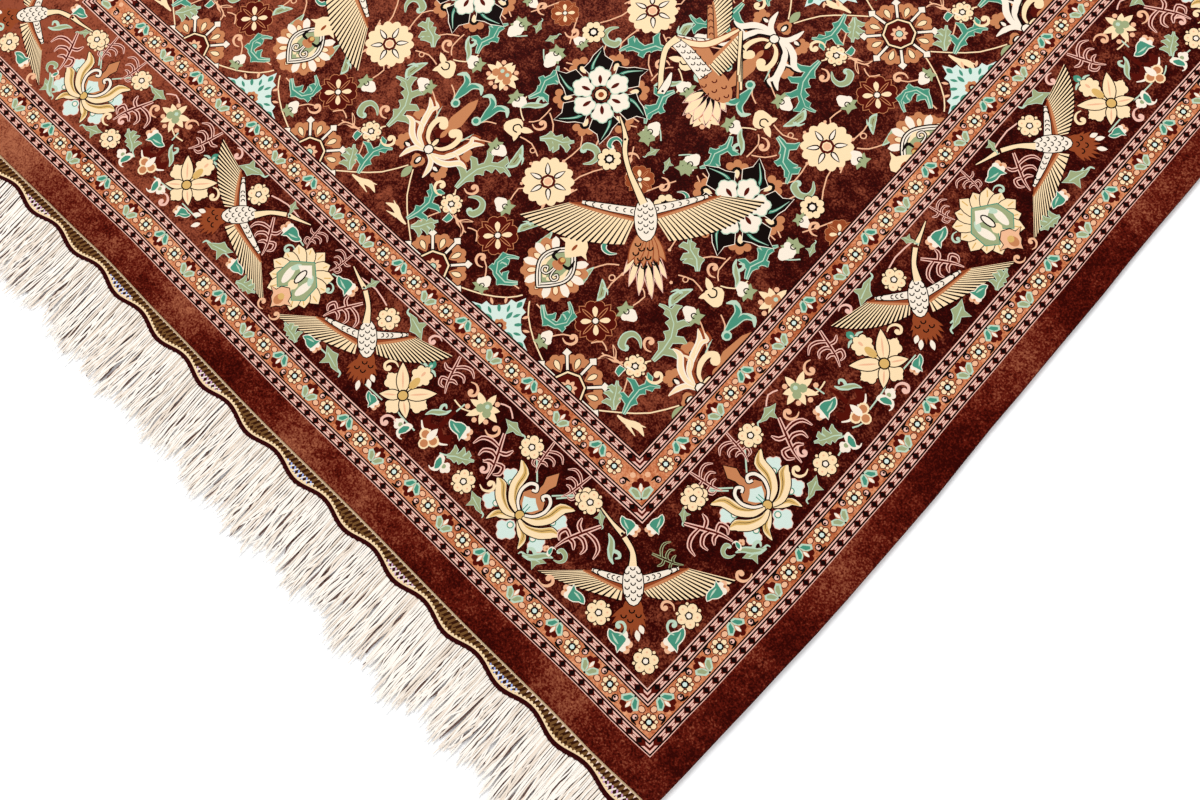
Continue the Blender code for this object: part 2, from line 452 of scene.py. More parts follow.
# %% [markdown]
# ## Curling leaves
#
# The large leaves carry fingers that lean towards the tip. A spine and its fingers are
# tapering ribbons: a wide pale set under a narrower dark one leaves an even pale edge. A
# plume is the same idea in line only.

# %% Curling leaves
def acanthus(line, wide, lobes, leaf="teal", long_side=1, reach=2.0):
    """A curling leaf with fingers; line runs from its foot to its tip.

    The fingers lean towards the tip and curl away from it at their ends. Those on the
    long side reach further out.
    """
    spine = path(line, 2)
    last = len(spine) - 1

    def spot(t, off, ahead=0.0):
        k = min(int(t * last), last - 1)
        (ax, ay), (bx, by) = spine[k], spine[k + 1]
        size = math.hypot(bx - ax, by - ay) or 1.0
        dx, dy = (bx - ax) / size, (by - ay) / size
        x, y = ax + (bx - ax) * (t * last - k), ay + (by - ay) * (t * last - k)
        return x + dx * ahead - dy * off, y + dy * ahead + dx * off

    fingers = []
    for hand in (1, -1):
        push = hand * wide * (reach if hand == long_side else 1.0) / 2
        for k in range(lobes):
            t = 0.1 + 0.72 * (k + 0.5) / lobes
            out = push * math.sin(math.pi * (0.3 + 0.6 * t))
            fingers.append([spot(t, 0), spot(t, out * 0.8, wide * 0.36),
                            spot(t, out * 1.3, wide * 0.24)])
    thick = [wide * 0.2, wide * 0.52, wide * 0.5, wide * 0.36, 0.8]
    done = [("mint", ribbon(finger, [wide * 0.5 + 1.4, wide * 0.4 + 1.4, 1.2])) for finger in fingers]
    done += [("mint", ribbon(spine, [t + 1.4 for t in thick]))]
    done += [(leaf, ribbon(finger, [wide * 0.5, wide * 0.38, 0.2])) for finger in fingers]
    return done + [(leaf, ribbon(spine, thick)), ("mint", ribbon(line, [1.2, 0.9, 0.3]))]


PLUME_CURLS = {
    "stem": ((0, 0), (-5, -10), (-9, -18), (-13, -27), (-15, -36)),
    "low": ((-5, -11), (4, -11), (11, -15), (13, -23)),
    "middle": ((-9, -18), (-3, -17), (3, -21), (3, -27)),
    "high": ((-12, -24), (-7, -24), (-3, -28)),
    "foot": ((-7, -14), (-13, -11), (-15, -5)),
    "back": ((-12, -22), (-18, -20), (-20, -26), (-16, -30)),
}


def plume(line_colour="pink", inside="wine"):
    """A spray of curling leaves on one stem, drawn in line only; its foot is at 0, 0."""
    curls = [path(marks, 3) for marks in PLUME_CURLS.values()]
    done = [(line_colour, ribbon(curl, [2.8, 4.0, 3.6, 1.2])) for curl in curls]
    return done + [(inside, ribbon(curl, [0.8, 1.7, 1.4, 0.1])) for curl in curls]


tell("plume", plume())

# %% [markdown]
# ## The lotus
#
# The border's repeat starts on a lotus seen from the side: three pairs of curled petals, a
# salmon belly and pale blossoms behind. One half is given and mirrored, because the real
# one is even left to right.

# %% The lotus
def lotus():
    """Lotus seen from the side, 66 mm wide; 0, 0 is the gold button at its head."""
    done = []
    for x, y, r, turn in ((0, -15.5, 8.8, -90), (-25, -7, 7.2, -160), (25, -7, 7.2, -20),
                          (-27, 17, 6.8, 180), (27, 17, 6.8, 0)):
        done += edged("sky", lobed(r, 4, 0.3, x, y, turn, 4), "pink", 0.6)
    for x, y in ((0, -10.6), (-20.4, -6.2), (20.4, -6.2), (-23, 13.6), (23, 13.6)):
        done += [("teal", disc(2.9, x, y, 9)), ("ivory", disc(2.1, x, y, 8))]
    petals = [
        ([(-2, -4), (-9, -8.5), (-15, -12), (-17.5, -20)], [2, 5.5, 7, 5, 0.6]),
        ([(-2, -3), (-11, -4.5), (-21, 0), (-28, 7), (-34, 8.5)], [2, 7, 9.5, 10, 0.6]),
        ([(-3, 0), (-12, 4.5), (-18.5, 14), (-21, 26), (-29.5, 32)], [2, 7.5, 10, 10, 0.6]),
    ]
    for line, widths in petals:
        p = path(line, 4)
        slim = [w * 0.88 for w in widths]
        inner = [(x * 0.965 + 0.5, y * 0.965 + 1.5) for x, y in p[2:]]
        done += both([("black", grown(ribbon(p, slim), 0.75)), ("cream", ribbon(p, slim)),
                      ("gold", ribbon(inner, [0.3, 2.4, 3.8, 0.5])),
                      ("black", ribbon(inner[2:-2], [0.2, 0.5, 0.2]))])
    belly = [(0, 4), (-7, 7), (-10.5, 15), (-8, 20), (-3, 22), (-3, 30), (-5.2, 36), (0, 45),
             (5.2, 36), (3, 30), (3, 22), (8, 20), (10.5, 15), (7, 7)]
    done += edged("salmon", belly, by=0.8)
    done += [("sky", [(0, 3), (-5, 8), (-8, 13), (-3, 15.5), (0, 18), (3, 15.5), (8, 13), (5, 8)])]
    done += both([("teal", ribbon([(-1.3, 3.5), (-1.3, 10.5)], 0.7))])
    side = path([(-3, 2.5), (-9, 7), (-12.8, 15), (-11.5, 23), (-6.4, 26), (-3.4, 22.5),
                 (-6.6, 20.8)], 4)
    done += both([("black", ribbon(side, [3.2, 4.0, 4.2, 4.0, 3.6])),
                  ("ivory", ribbon(side, [1.8, 2.4, 2.6, 2.4, 2.0]))])
    return done + edged("gold", disc(3.5, sides=12), by=0.9)


tell("lotus", lotus())

# %% [markdown]
# ## The star flower
#
# Four lobed and four pointed petals in turn. They are laid by angle and length, since the
# real flower is longer below than above.

# %% The star flower
def star_flower():
    """Open flower of four lobed and four pointed petals with a teal bud under it."""
    done = [("teal", petal(9, 6.5, 90, 0, 29.5, 0.7)), ("mint", petal(4, 2.4, 90, 0, 31, 0.5))]
    done += both([stroke("mint", [(-1, 30), (-5, 31), (-9, 29)], [2, 2.4, 0.8])])
    for far, r, lobes, turn in ((11.5, 6.8, 5, -90), (14.5, 8.2, 5, 166), (14.5, 8.2, 5, 14),
                                (22, 9.2, 7, 90)):
        x, y = at(turn, far)
        done += edged("cream", lobed(r, lobes, 0.22, x, y, turn, 4), by=0.7)
        done += [("cream", petal(far + r * 1.12, r * 0.9, turn, blunt=0.7))]
    for length, turn, wide in ((19.5, -143, 8.6), (19.5, -37, 8.6), (28, 135, 10.5), (28, 45, 10.5)):
        done += edged("cream", petal(length, wide, turn, blunt=0.18, steps=8), by=0.8)
        done += [("peach", petal(length * 0.6, 1.6, turn, *at(turn, 5), blunt=0.4))]
    done += [("gold", oval(6.2, 3.2, 0, 13.5, 90)), ("peach", oval(2.6, 1.2, 0, 24, 90, 8))]
    done += both([("black", ribbon([(-1.2, 4), (-1.2, 9)], 0.6))])
    return done + [("black", disc(5.0, sides=12)), ("gold", disc(3.9, sides=12))]


tell("star flower", star_flower())

# %% [markdown]
# ## Palmettes and the leaf star
#
# A palmette is a fruit or flower cut open: a shield with a heart inside a fan of petals.
# The petals come from one loop, and the shield's outline is listed with its two halves mirrored.

# %% Palmettes and the leaf star
def palmette():
    """Round palmette: lobed petals round a green shield with a pill in it, 58 mm wide."""
    done = []
    for k in range(13):
        turn = -60 + 25 * k
        long = (29.5, 27.5)[k % 2]
        done += edged("cream", petal(long, 13.0, turn, blunt=0.9), by=0.7)
        done.append(("gold", ribbon([at(turn, 21), at(turn, long - 2.5)], 1.0)))
    plate = [(0, -9), (-9, -18.5), (-17.5, -11), (-16.5, 4), (0, 17), (16.5, 4), (17.5, -11),
             (9, -18.5)]
    done += edged("sage", plate, "teal", 0.9)
    done += both([("ivory", oval(9.0, 3.6, -9.5, -5, 98)), ("mint", oval(5, 2.6, -9, 4, 60))])
    done += [("ivory", [(0, 2), (-9, 6), (0, 14), (9, 6)]), ("cream", disc(4.6, 0, -8.5, 9))]
    done += [("black", oval(7.6, 3.6, 0, 0.5, 90)), ("ivory", oval(6.4, 2.4, 0, 0.5, 90))]
    top = [(0, -35), (-2.4, -31), (-6, -28.5), (-7.4, -25), (-13.5, -22), (-7.5, -21.5),
           (-6, -16.5), (0, -13), (6, -16.5), (7.5, -21.5), (13.5, -22), (7.4, -25), (6, -28.5),
           (2.4, -31)]
    done += edged("peach", top, by=0.8)
    return done + [("salmon", oval(5, 4.0, 0, -25.5, 90)), ("gold", disc(3.0, 0, -22.5, 9))]


def winged_palmette():
    """Small orange flower with a white drop between two dark wings."""
    done = [stroke("wine", [(0, 10), (0, 22), (-1, 28)], [4, 3, 2])]
    done += both([stroke("wine", [(-1, 9), (-6, 4), (-11, 5), (-12, 12)], [3, 8, 9, 1.5], 4),
                  stroke("ivory", [(-3, 2.5), (-9, 0), (-15, 4)], [2.6, 2.2, 1.0], 4)])
    done += [("cream", disc(4.6, 0, -8.5, 10))]
    done += both([("cream", disc(4.8, -4.8, -2, 10))])
    done += [("salmon", disc(3.4, 0, -8.2, 9))]
    done += both([("salmon", disc(3.4, -4.4, -2, 9))])
    return done + [("ivory", petal(13, 6.4, -90, 0, 8, 0.75))]


def leaf_star(heart="sage"):
    """Loose star of seven pointed leaves with a green middle."""
    done = []
    for turn, length in ((-112, 14), (-62, 17), (-12, 15), (22, 16), (84, 14), (150, 12),
                         (188, 15)):
        done.append(("cream", petal(length, 6.2, turn, blunt=0.25)))
    for turn, far in ((-88, 13), (-35, 15), (118, 10), (225, 11)):
        done.append(("peach", disc(2.3, *at(turn, far), sides=7)))
    return done + [(heart, disc(4.4, 0, 2, 8)), (heart, disc(3.8, -3.5, -2.5, 8)),
                   (heart, disc(3.8, 3.5, -2.5, 8)), ("mint", disc(2, 0, 2, 6))]


tell("palmette", palmette())

# %% [markdown]
# ## Feathers
#
# The birds' wings are cream with dark lines between the feathers. It is simplest to fill
# the whole wing and lay dark wedges on it; each feather then keeps its own tip. Small dark
# horseshoes mark the scales.

# %% Feathers
def scale_mark(x, y, turn, size=1.0, colour="black"):
    """One dark horseshoe of the feather pattern."""
    line = [at(turn + a, 1.9 * size, x, y) for a in (-100, -50, 0, 50, 100)]
    return (colour, ribbon(line, 0.95 * size))


def wing(root, wrist, first, last, bow, count):
    """A spread wing: feathers fanned from a band that runs from root to wrist.

    first and last are the outer ends of the first and last feather, bow lifts the ends
    between them outwards. Dark wedges part the feathers, so each keeps its own tip.
    """
    feet, tips = [], []
    for k in range(count):
        t = k / (count - 1)
        feet.append((root[0] + (wrist[0] - root[0]) * t, root[1] + (wrist[1] - root[1]) * t))
        rise = 4 * t * (1 - t)
        tips.append((first[0] + (last[0] - first[0]) * t + bow[0] * rise,
                     first[1] + (last[1] - first[1]) * t + bow[1] * rise))
    done = [("cream", feet + tips[::-1])]
    for f1, f2, t1, t2 in zip(feet, feet[1:], tips, tips[1:]):
        foot = ((f1[0] + f2[0]) / 2, (f1[1] + f2[1]) / 2)
        tip = ((t1[0] + t2[0]) / 2, (t1[1] + t2[1]) / 2)
        long = math.hypot(tip[0] - foot[0], tip[1] - foot[1]) or 1.0
        ex, ey = (tip[0] - foot[0]) / long, (tip[1] - foot[1]) / long
        apart = abs(ex * (t2[1] - t1[1]) - ey * (t2[0] - t1[0]))
        wide = min(1.15, 0.38 * apart)
        done.append(("black", ribbon([foot, (tip[0] + ex * 1.4, tip[1] + ey * 1.4)],
                                 [wide * 0.5, wide, wide * 1.4])))
    band = [root, ((root[0] + wrist[0]) / 2 + bow[0] * 0.1, (root[1] + wrist[1]) / 2 + bow[1] * 0.1),
            wrist]
    return done + [stroke("salmon", band, [3.6, 3.2, 1.4])]


def dotted_arm(line, widths, count):
    """The pale scaled leading edge of a wing."""
    p = path(line, 4)
    done = [("black", ribbon(p, [w + 1.6 for w in widths])), ("ivory", ribbon(p, widths))]
    for k in range(count):
        spot = p[int((k + 0.5) / count * (len(p) - 1))]
        ahead = p[min(int((k + 0.5) / count * (len(p) - 1)) + 1, len(p) - 1)]
        way = math.degrees(math.atan2(ahead[1] - spot[1], ahead[0] - spot[0]))
        done.append(scale_mark(spot[0], spot[1], way, 0.9))
    return done


tell("wing", wing(*((6, -5), (49, -13), (1, -13), (78, -36), (5, -4), 18)))

# %% [markdown]
# ## The flying bird
#
# A crane-like bird flies across the rug with its neck stretched out. Tail, wings, arms,
# body, neck and beak are drawn from back to front, so each covers the foot of the one
# before. Three spreads serve the border, the corner and the field.

# %% The flying bird
# upper and lower wing: root, wrist, end of the first and last feather, bow, feathers
SPREAD = {
    "border": (((6, -5), (49, -13), (1, -13), (78, -36), (5, -4), 18),
               ((-5, 5), (-27, 31), (-13, -1), (-61, 40), (-5, -4), 17)),
    "corner": (((6, -5), (38, -15), (1, -12), (63, -39), (4, -4), 16),
               ((-5, 5), (-20, 41), (-12, 4), (-51, 59), (-6, -5), 17)),
    "field": (((9, -3), (61, -28), (1, -25), (85, -63), (-1, -8), 20),
              ((-2, 9), (-31, 60), (-25, 2), (-61, 80), (-8, -2), 21)),
}


def short_tail():
    """Fan of rust feathers, some with an ivory tip."""
    done = []
    foot = (-7, -9)
    for turn, length, tipped in ((-178, 16, 0), (-166, 20, 0), (-155, 22, 1), (-144, 26, 1),
                                 (-133, 24, 0), (-122, 27, 1), (-110, 24, 0), (-99, 24, 0),
                                 (-87, 21, 0), (-75, 18, 0)):
        done.append(("rust", petal(length, 4.6, turn, *foot, blunt=0.2)))
        if tipped:
            done.append(("ivory", petal(length * 0.34, 4.4, turn, *at(turn, length * 0.74, *foot),
                                        blunt=0.3)))
    done.append(("rust", oval(11, 8.0, -11, -12, 48)))
    return done + [scale_mark(x, y, -130, 1.1) for x, y in ((-14, -18), (-8, -19), (-16, -11),
                                                            (-10, -12))]


def long_tail():
    """Fan of long dark feathers edged in pink, under a shorter salmon one."""
    done = []
    foot = (-8, -10)
    for turn, length, w in ((-160, 40, 7), (-150, 50, 8), (-139, 53, 8.5), (-127, 50, 8),
                            (-115, 44, 7.5), (-103, 36, 6.5)):
        done.append(("pink", petal(length, w + 1.6, turn, *foot, blunt=0.28, steps=8)))
        done.append(("black", petal(length - 1.4, w, turn, *foot, blunt=0.28, steps=8)))
        done.append(("cream", petal(length * 0.54, w * 0.66, turn, *at(turn, length * 0.42, *foot),
                                    blunt=0.35)))
    for turn in (-163, -152, -141, -130, -119, -108):
        done.append(("rust", petal(35, 10, turn, -2, -3, blunt=0.3)))
        done.append(("salmon", petal(33, 8.4, turn, -2, -3, blunt=0.3)))
    spots = ((-28, -20), (-24, -28), (-18, -30), (-21, -20), (-17, -25), (-11, -24), (-17, -13),
             (-12, -18), (-7, -17))
    return done + [scale_mark(x, y, -134, 1.3) for x, y in spots]


tell("long tail", long_tail())

# %% [markdown]
# ## Wings, body and neck
#
# The arms, the scaled leading edges, follow each wing's first stretch. The body is an ivory
# oval with three rows of scales; neck and beak are ribbons through marks, so each bird can
# stretch them its own way.

# %% Wings, body and neck
def flying_bird(neck=((13, 12), (22, 23), (34, 31)), beak=((36, 32), (46, 35), (57, 39)),
                tail="short", spread="border"):
    """Long-necked bird on spread wings; 0, 0 is the middle of its back."""
    upper, lower = SPREAD[spread]
    short = tail == "short"
    big = 1.0 if short else 1.2
    done = short_tail() if short else long_tail()
    for row in (upper, lower):
        done += wing(*row)
    for (x, y), (p, q), push in ((*upper[:2], 1), (*lower[:2], -1)):
        size = math.hypot(p - x, q - y)
        nx, ny = -(q - y) / size * 4.6 * push, (p - x) / size * 4.6 * push
        arm = [(x + nx * 1.5, y + ny * 1.5), (x + (p - x) * 0.4 + nx, y + (q - y) * 0.4 + ny),
               (x + (p - x) * 0.82 + nx * 0.7, y + (q - y) * 0.82 + ny * 0.7)]
        done.append(("rust", [(x, y), (p, q)] + arm[::-1]))
        done += dotted_arm(arm, [6.4 * big, 5.0 * big, 2.0 * big], 6 if short else 9)
    body = oval(16 * big, 7.8 * big, 2.5, 3, 46, 16)
    done += edged("ivory", body, by=0.8)
    c, s = math.cos(math.radians(46)), math.sin(math.radians(46))
    for row, count in ((-4.6, 4), (0, 5), (4.6, 4)):
        for k in range(count):
            along = (k - (count - 1) / 2) * 5.8 + 1
            done.append(scale_mark(2.5 + along * c - row * s, 3 + along * s + row * c, 226, 0.95))
    p = path(list(neck), 5)
    done += [("black", ribbon(p, [8, 5.2, 5.6])), ("cream", ribbon(p, [6.2, 3.4, 3.8]))]
    b = path(list(beak), 4)
    done += [("black", ribbon(b, [6.0, 4.2, 1.6])), ("cream", ribbon(b, [4.4, 2.2, 0.7]))]
    return done + [("black", disc(1.2, beak[0][0] + 1, beak[0][1], 7))]


tell("flying bird", flying_bird())

# %% [markdown]
# ## Flowers of the field
#
# The field has larger flowers: a wheel, a pointed star, a palmette with an eye, a bloom
# with dark leaves. They are drawn with even turns round a middle, as on the real rug.

# %% Wheel and pointed star

def wheel():
    """Wheel flower: dark eight-sided hub, eight cupped petals and eight pale spokes."""
    def cup(a):
        done = []
        for far, r, side in ((26, 4.6, 0), (24.5, 4.0, -13), (24.5, 4.0, 13)):
            done.append(("salmon", disc(r, *at(a + side, far), sides=9)))
        done.append(("salmon", petal(14, 10.5, a, *at(a, 14.5), blunt=0.85)))
        done.append(("black", petal(10.4, 5.6, a, *at(a, 16.2), blunt=0.8)))
        return done + [("cream", petal(9.2, 4.2, a, *at(a, 16.8), blunt=0.8))]

    def spoke(a):
        bar = ribbon([at(a, 13), at(a, 28)], [2.0, 2.2])
        end = [at(a, 26.5), at(a - 7.2, 30), at(a, 33.6), at(a + 7.2, 30)]
        return [("black", grown(bar, 0.9)), ("black", grown(end, 0.8)), ("ivory", bar),
                ("ivory", end)]
    done = ring_of(cup, 8, 22.5) + ring_of(spoke, 8, 0)
    done += [("black", disc(15.6, sides=8)), ("cream", disc(14.4, sides=8)),
             ("black", disc(12.8, sides=8)), ("wine", disc(12.0, sides=8))]
    done += ring_of(lambda a: [("peach", petal(7.6, 3.8, a, blunt=0.7))], 8, 0)
    return done + [("black", disc(3.6, sides=8)), ("mint", disc(2.9, sides=8))]


def big_star():
    """Broad pointed star of pale blue with teal leaves inside."""
    def arm(a):
        return [("sky", [at(a - 42, 17), at(a - 24, 20), at(a - 20, 24.5), at(a - 9, 24), at(a, 32),
                        at(a + 9, 24), at(a + 20, 24.5), at(a + 24, 20), at(a + 42, 17)]),
                ("peach", petal(6.5, 2.6, a + 30, *at(a + 30, 19.5), blunt=0.4)),
                ("peach", petal(6.5, 2.6, a - 30, *at(a - 30, 19.5), blunt=0.4))]

    def inside(a):
        return [("teal", petal(7.0, 4.2, a + 180, *at(a, 27.5), blunt=0.25)),
                ("teal", petal(8.0, 3.6, a, *at(a, 8.0), blunt=0.3)),
                ("teal", petal(7.0, 2.6, a + 26, *at(a + 14, 13.0), blunt=0.3)),
                ("teal", petal(7.0, 2.6, a - 26, *at(a - 14, 13.0), blunt=0.3)),
                ("teal", oval(3.4, 1.5, *at(a + 45, 15.5), a + 45, 8))]
    done = ring_of(arm, 4, 0) + [("sky", disc(18.5, sides=12))] + ring_of(inside, 4, 0)
    done += ring_of(lambda a: [("salmon", petal(6.6, 4.6, a, blunt=0.8))], 8, 22.5)
    return done + [("wine", disc(3.4, sides=8)), ("mint", disc(1.8, sides=6))]


tell("wheel", wheel())

# %% [markdown]
# ## The eye palmette
#
# A palmette with an almond eye stands on the axis of each cell. Its petals sit closer in
# towards the foot, so they are laid one by one from short tables.

# %% The eye palmette
def eye_palmette():
    """Palmette with a dark-rimmed eye, spirals and a cream lotus foot, 56 mm wide."""
    done = []
    for a in (0, 44, 84, 118):
        for hand in ((1,) if a == 0 else (1, -1)):
            way = -90 + hand * a
            far = (17, 16, 14.5, 15)[(0, 44, 84, 118).index(a)]
            foot = (0, 2)
            done.append(("salmon", petal(14, 15, way, *at(way, far - 2, *foot), blunt=0.95)))
            for side in (-17, 17):
                done.append(("salmon", disc(4.4, *at(way + side, far + 7, *foot), sides=9)))
            done.append(("salmon", disc(4.0, *at(way, far + 9.5, *foot), sides=9)))
            done.append(("rust", petal(10.4, 6.0, way, *at(way, far - 2, *foot), blunt=0.8)))
            done.append(("cream", petal(9.0, 4.4, way, *at(way, far - 1.4, *foot), blunt=0.8)))
    for a in (23, 65, 101, 138):
        for hand in (1, -1):
            way = -90 + hand * a
            done.append(("ivory", petal(16, 7.0, way, *at(way, 12, 0, 2), blunt=0.85)))
    almond = path([(0, -20), (8, -12), (14.5, -2), (14.5, 8), (8, 18), (0, 24), (-8, 18),
                   (-14.5, 8), (-14.5, -2), (-8, -12), (0, -20)], 3)[:-1]
    for colour, by in (("black", 1.6), ("ivory", 0.4), ("black", -1.0), ("ivory", -1.9),
                       ("black", -3.4), ("sage", -4.0)):
        done.append((colour, grown(almond, by)))
    done += both([stroke("cream", [(-1, -10), (-5, -6), (-10, -1), (-9, 8)], [2.5, 4.4, 4.2, 1.0])])
    for grow, colour in ((0.9, "black"), (0, "ivory")):
        w = 1.1 + 2 * grow
        done += both([stroke(colour, [(-0.9, 4), (-0.9, -2), (-2.4, -6.6), (-6.4, -7.2),
                                      (-8.0, -3.6), (-5.4, -1.4), (-3.9, -3.6)], w)])
    done += [("salmon", oval(5.4, 4.0, 0, 5, 0, 10)), ("rust", oval(3.4, 3.4, 0, 10, 0, 9)),
             ("gold", disc(2.2, 0, 11, 7))]
    done += both([stroke("black", [(-3, 8), (-9, 9), (-8, 17)], [1.6, 3.2, 1.0])])
    foot = [(0, 14), (-3.5, 17), (-9, 24), (-15.5, 24), (-11, 27.5), (-8.5, 33), (-4, 36.5), (0, 35),
            (4, 36.5), (8.5, 33), (11, 27.5), (15.5, 24), (9, 24), (3.5, 17)]
    done += [("cream", foot), ("rust", oval(3.6, 1.3, 0, 25.5, 90, 8))]
    return done


tell("eye palmette", eye_palmette())

# %% [markdown]
# ## Round flowers of the field
#
# Three open flowers seen from above. Their petals repeat by angle, one set over a slightly
# larger one in the colour of the edge.

# %% Round flowers of the field
def outline_flower(leaf):
    """Flower drawn in thin line, four pale petals in its cross, 34 mm wide."""
    done = []
    for a in (45, 135, 225, 315):
        for far, r, side in ((12.6, 5.0, -15), (12.6, 5.0, 15), (9.5, 5.4, 0)):
            done.append(("salmon", disc(r + 0.3, *at(a + side, far), sides=10)))
    for a in (0, 90, 180, 270):
        done.append(("salmon", petal(19.0, 7.8, a, blunt=0.75)))
    for a in (45, 135, 225, 315):
        for far, r, side in ((12.6, 5.0, -15), (12.6, 5.0, 15), (9.5, 5.4, 0)):
            done.append((leaf, disc(r - 0.3, *at(a + side, far), sides=10)))
    for a in (0, 90, 180, 270):
        done.append((leaf, petal(18.2, 6.8, a, blunt=0.75)))
        done.append(("salmon", petal(15.5, 3.2, a, blunt=0.7)))
        done.append((leaf, petal(14.4, 1.7, a, blunt=0.7)))
    for a in (45, 135, 225, 315):
        done.append(("cream", petal(9.5, 4.8, a, *at(a, 3.0), blunt=0.8)))
    return done + [("black", disc(3.4, sides=8)), ("ivory", disc(2.4, sides=8))]


def scallop_rosette():
    """Broad scalloped disc with six dark-edged slots round a ringed eye, 46 mm wide."""
    done = [("cream", lobed(22.6, 14, 0.13, per=4))]
    done += [("peach", disc(1.6, *at(k * 360 / 14 + 6, 22.5), sides=5)) for k in range(0, 14, 3)]
    done += ring_of(lambda a: [("black", petal(12.2, 5.2, a + 180, *at(a, 17.6), blunt=0.9)),
                               ("ivory", petal(9.8, 3.0, a + 180, *at(a, 16.6), blunt=0.9))], 6, -74)
    return done + [("wine", disc(6.6, sides=8)), ("cream", disc(4.4, sides=8)),
                   ("peach", disc(3.4, sides=8))]


def eight_rosette():
    """Small rosette of eight dark-edged petals."""
    done = ring_of(lambda a: [("black", disc(3.9, *at(a, 7.2), sides=9))], 8, 22.5)
    done += ring_of(lambda a: [("cream", disc(3.2, *at(a, 7.2), sides=9))], 8, 22.5)
    return done + [("black", lobed(5.0, 8, 0.3, per=2)), ("ivory", disc(2.6, sides=8))]


tell("scallop rosette", scallop_rosette())

# %% [markdown]
# ## The bloom
#
# The largest flower closes each cell: white lobes, dark hooked leaves with a teal vein, and
# small orange blossoms, six of each.

# %% The bloom
def star_bloom():
    """Large open bloom: pale lobed petals, dark leaves with a teal vein, small orange flowers."""
    def leaf(a):
        body = [at(a, 8), at(a - 22, 21), at(a - 27, 30), at(a - 14, 33), at(a - 7, 38), at(a + 5, 46),
                at(a + 8, 37), at(a + 21, 33), at(a + 20, 22)]
        vein = path([at(a - 4, 16), at(a - 14, 24), at(a - 9, 31), at(a + 3, 42)], 3)
        return [("ivory", grown(body, 0.7)), ("black", body),
                ("teal", ribbon(vein, [1, 3.4, 2.2, 0.4])),
                ("mint", ribbon(vein[3:], [0.3, 0.8, 0.3]))]

    def blossom(a):
        x, y = at(a, 31)
        done = [("salmon", disc(3.6, *at(a + s, 7.4, x, y), sides=9)) for s in (-62, -8, 46)]
        done.append(("salmon", disc(4.4, *at(a, 4.0, x, y), sides=9)))
        return done + [("black", disc(4.3, x, y, 9)), ("cream", petal(8.4, 4.6, a, *at(a, 24.5),
                                                                      blunt=0.9))]

    def white(a):
        x, y = at(a, 17)
        return [("black", disc(10.2, x, y, 10)), ("mint", lobed(10.4, 5, 0.2, x, y, a, 4)),
                ("ivory", lobed(9.4, 5, 0.22, x, y, a, 4)), ("wine", petal(9, 3.6, a, *at(a, 10),
                                                                     blunt=0.6))]
    done = ring_of(blossom, 6, 14) + ring_of(leaf, 6, -16) + ring_of(white, 6, -16)
    return done + [("black", disc(6.4, sides=10)), ("cream", disc(5.2, sides=10)),
                   ("rust", disc(2.6, sides=8))]


tell("bloom", star_bloom())

# %% [markdown]
# ## The lily
#
# A tall lily stands between the eye palmettes. A shade ribbon lies under each petal, moved
# a little, and gives it one dark side.

# %% The lily
def lily(leaf="cream", shade="rust"):
    """Tall lily: two pairs of swept petals, a curled lyre and a long tongue; 0, 0 at its bead."""
    done = []
    petals = [
        ([(-2, -3), (-9, -6), (-13, -13), (-14.5, -22)], [2, 3.6, 3.8, 0.6]),
        ([(-2, -1), (-12, -3), (-22, 1), (-30, 9), (-38, 9)], [2, 3.6, 4.4, 4.0, 0.5]),
        ([(-6, -1), (-16, 4), (-22, 16), (-26, 28), (-34, 35)], [1.6, 3.2, 4.4, 4.4, 0.5]),
        ([(-14, 3), (-20, 12), (-30, 10)], [1, 2.4, 0.5]),
        ([(-21, 18), (-24, 28), (-22, 33), (-28, 36)], [1, 3.0, 2.4, 0.5]),
    ]
    for line, widths in petals:
        p = path(line, 4)
        under = [(x + 0.9, y + 1.6) for x, y in p]
        done += both([(shade, ribbon(under, [w + 1.5 for w in widths]))])
    for line, widths in petals:
        p = path(line, 4)
        done += both([("ivory", ribbon(p, [w * 1.35 for w in widths])),
                      (leaf, ribbon(p, [w * 0.8 for w in widths]))])
    spear = [(0, 14), (-5, 18), (-3.4, 24), (-6.5, 34), (-5, 46), (-4, 54), (0, 62), (4, 54),
             (5, 46), (6.5, 34), (3.4, 24), (5, 18)]
    done += [("salmon", spear), ("wine", oval(8.5, 5.4, 0, 17, 0, 10)),
             ("salmon", petal(10, 5, -90, 0, 24, 0.5))]
    lyre = path([(-1, 4), (-8, 7), (-13, 15), (-13.5, 24), (-9, 28), (-4.5, 26)], 4)
    done += both([("cream", ribbon(lyre, [1.6, 3.2, 4.6, 5.0, 6.0, 4.0])),
                  ("cream", disc(4.2, -6.0, 24.4, 10))])
    done += [("salmon", lobed(7.2, 3, 0.3, 0, -14, -90, 4)), ("sage", petal(14, 7.5, -90, 0, -20, 0.5)),
             ("black", oval(4.6, 3.0, 0, -13.4, 90, 9)), ("ivory", oval(3.2, 1.7, 0, -12.8, 90, 8))]
    done += [("black", oval(5.6, 2.9, 0, 8, 90, 10)), ("cream", oval(4.4, 1.9, 0, 8, 90, 8))]
    return done + [("black", disc(5.0, sides=8)), ("ivory", disc(3.9, sides=8))]


tell("lily", lily())

# %% [markdown]
# ## Small flowers and leaves of the field
#
# Little things fill the gaps between the large flowers. Each is a few outlines, as small as
# the stems that carry them.

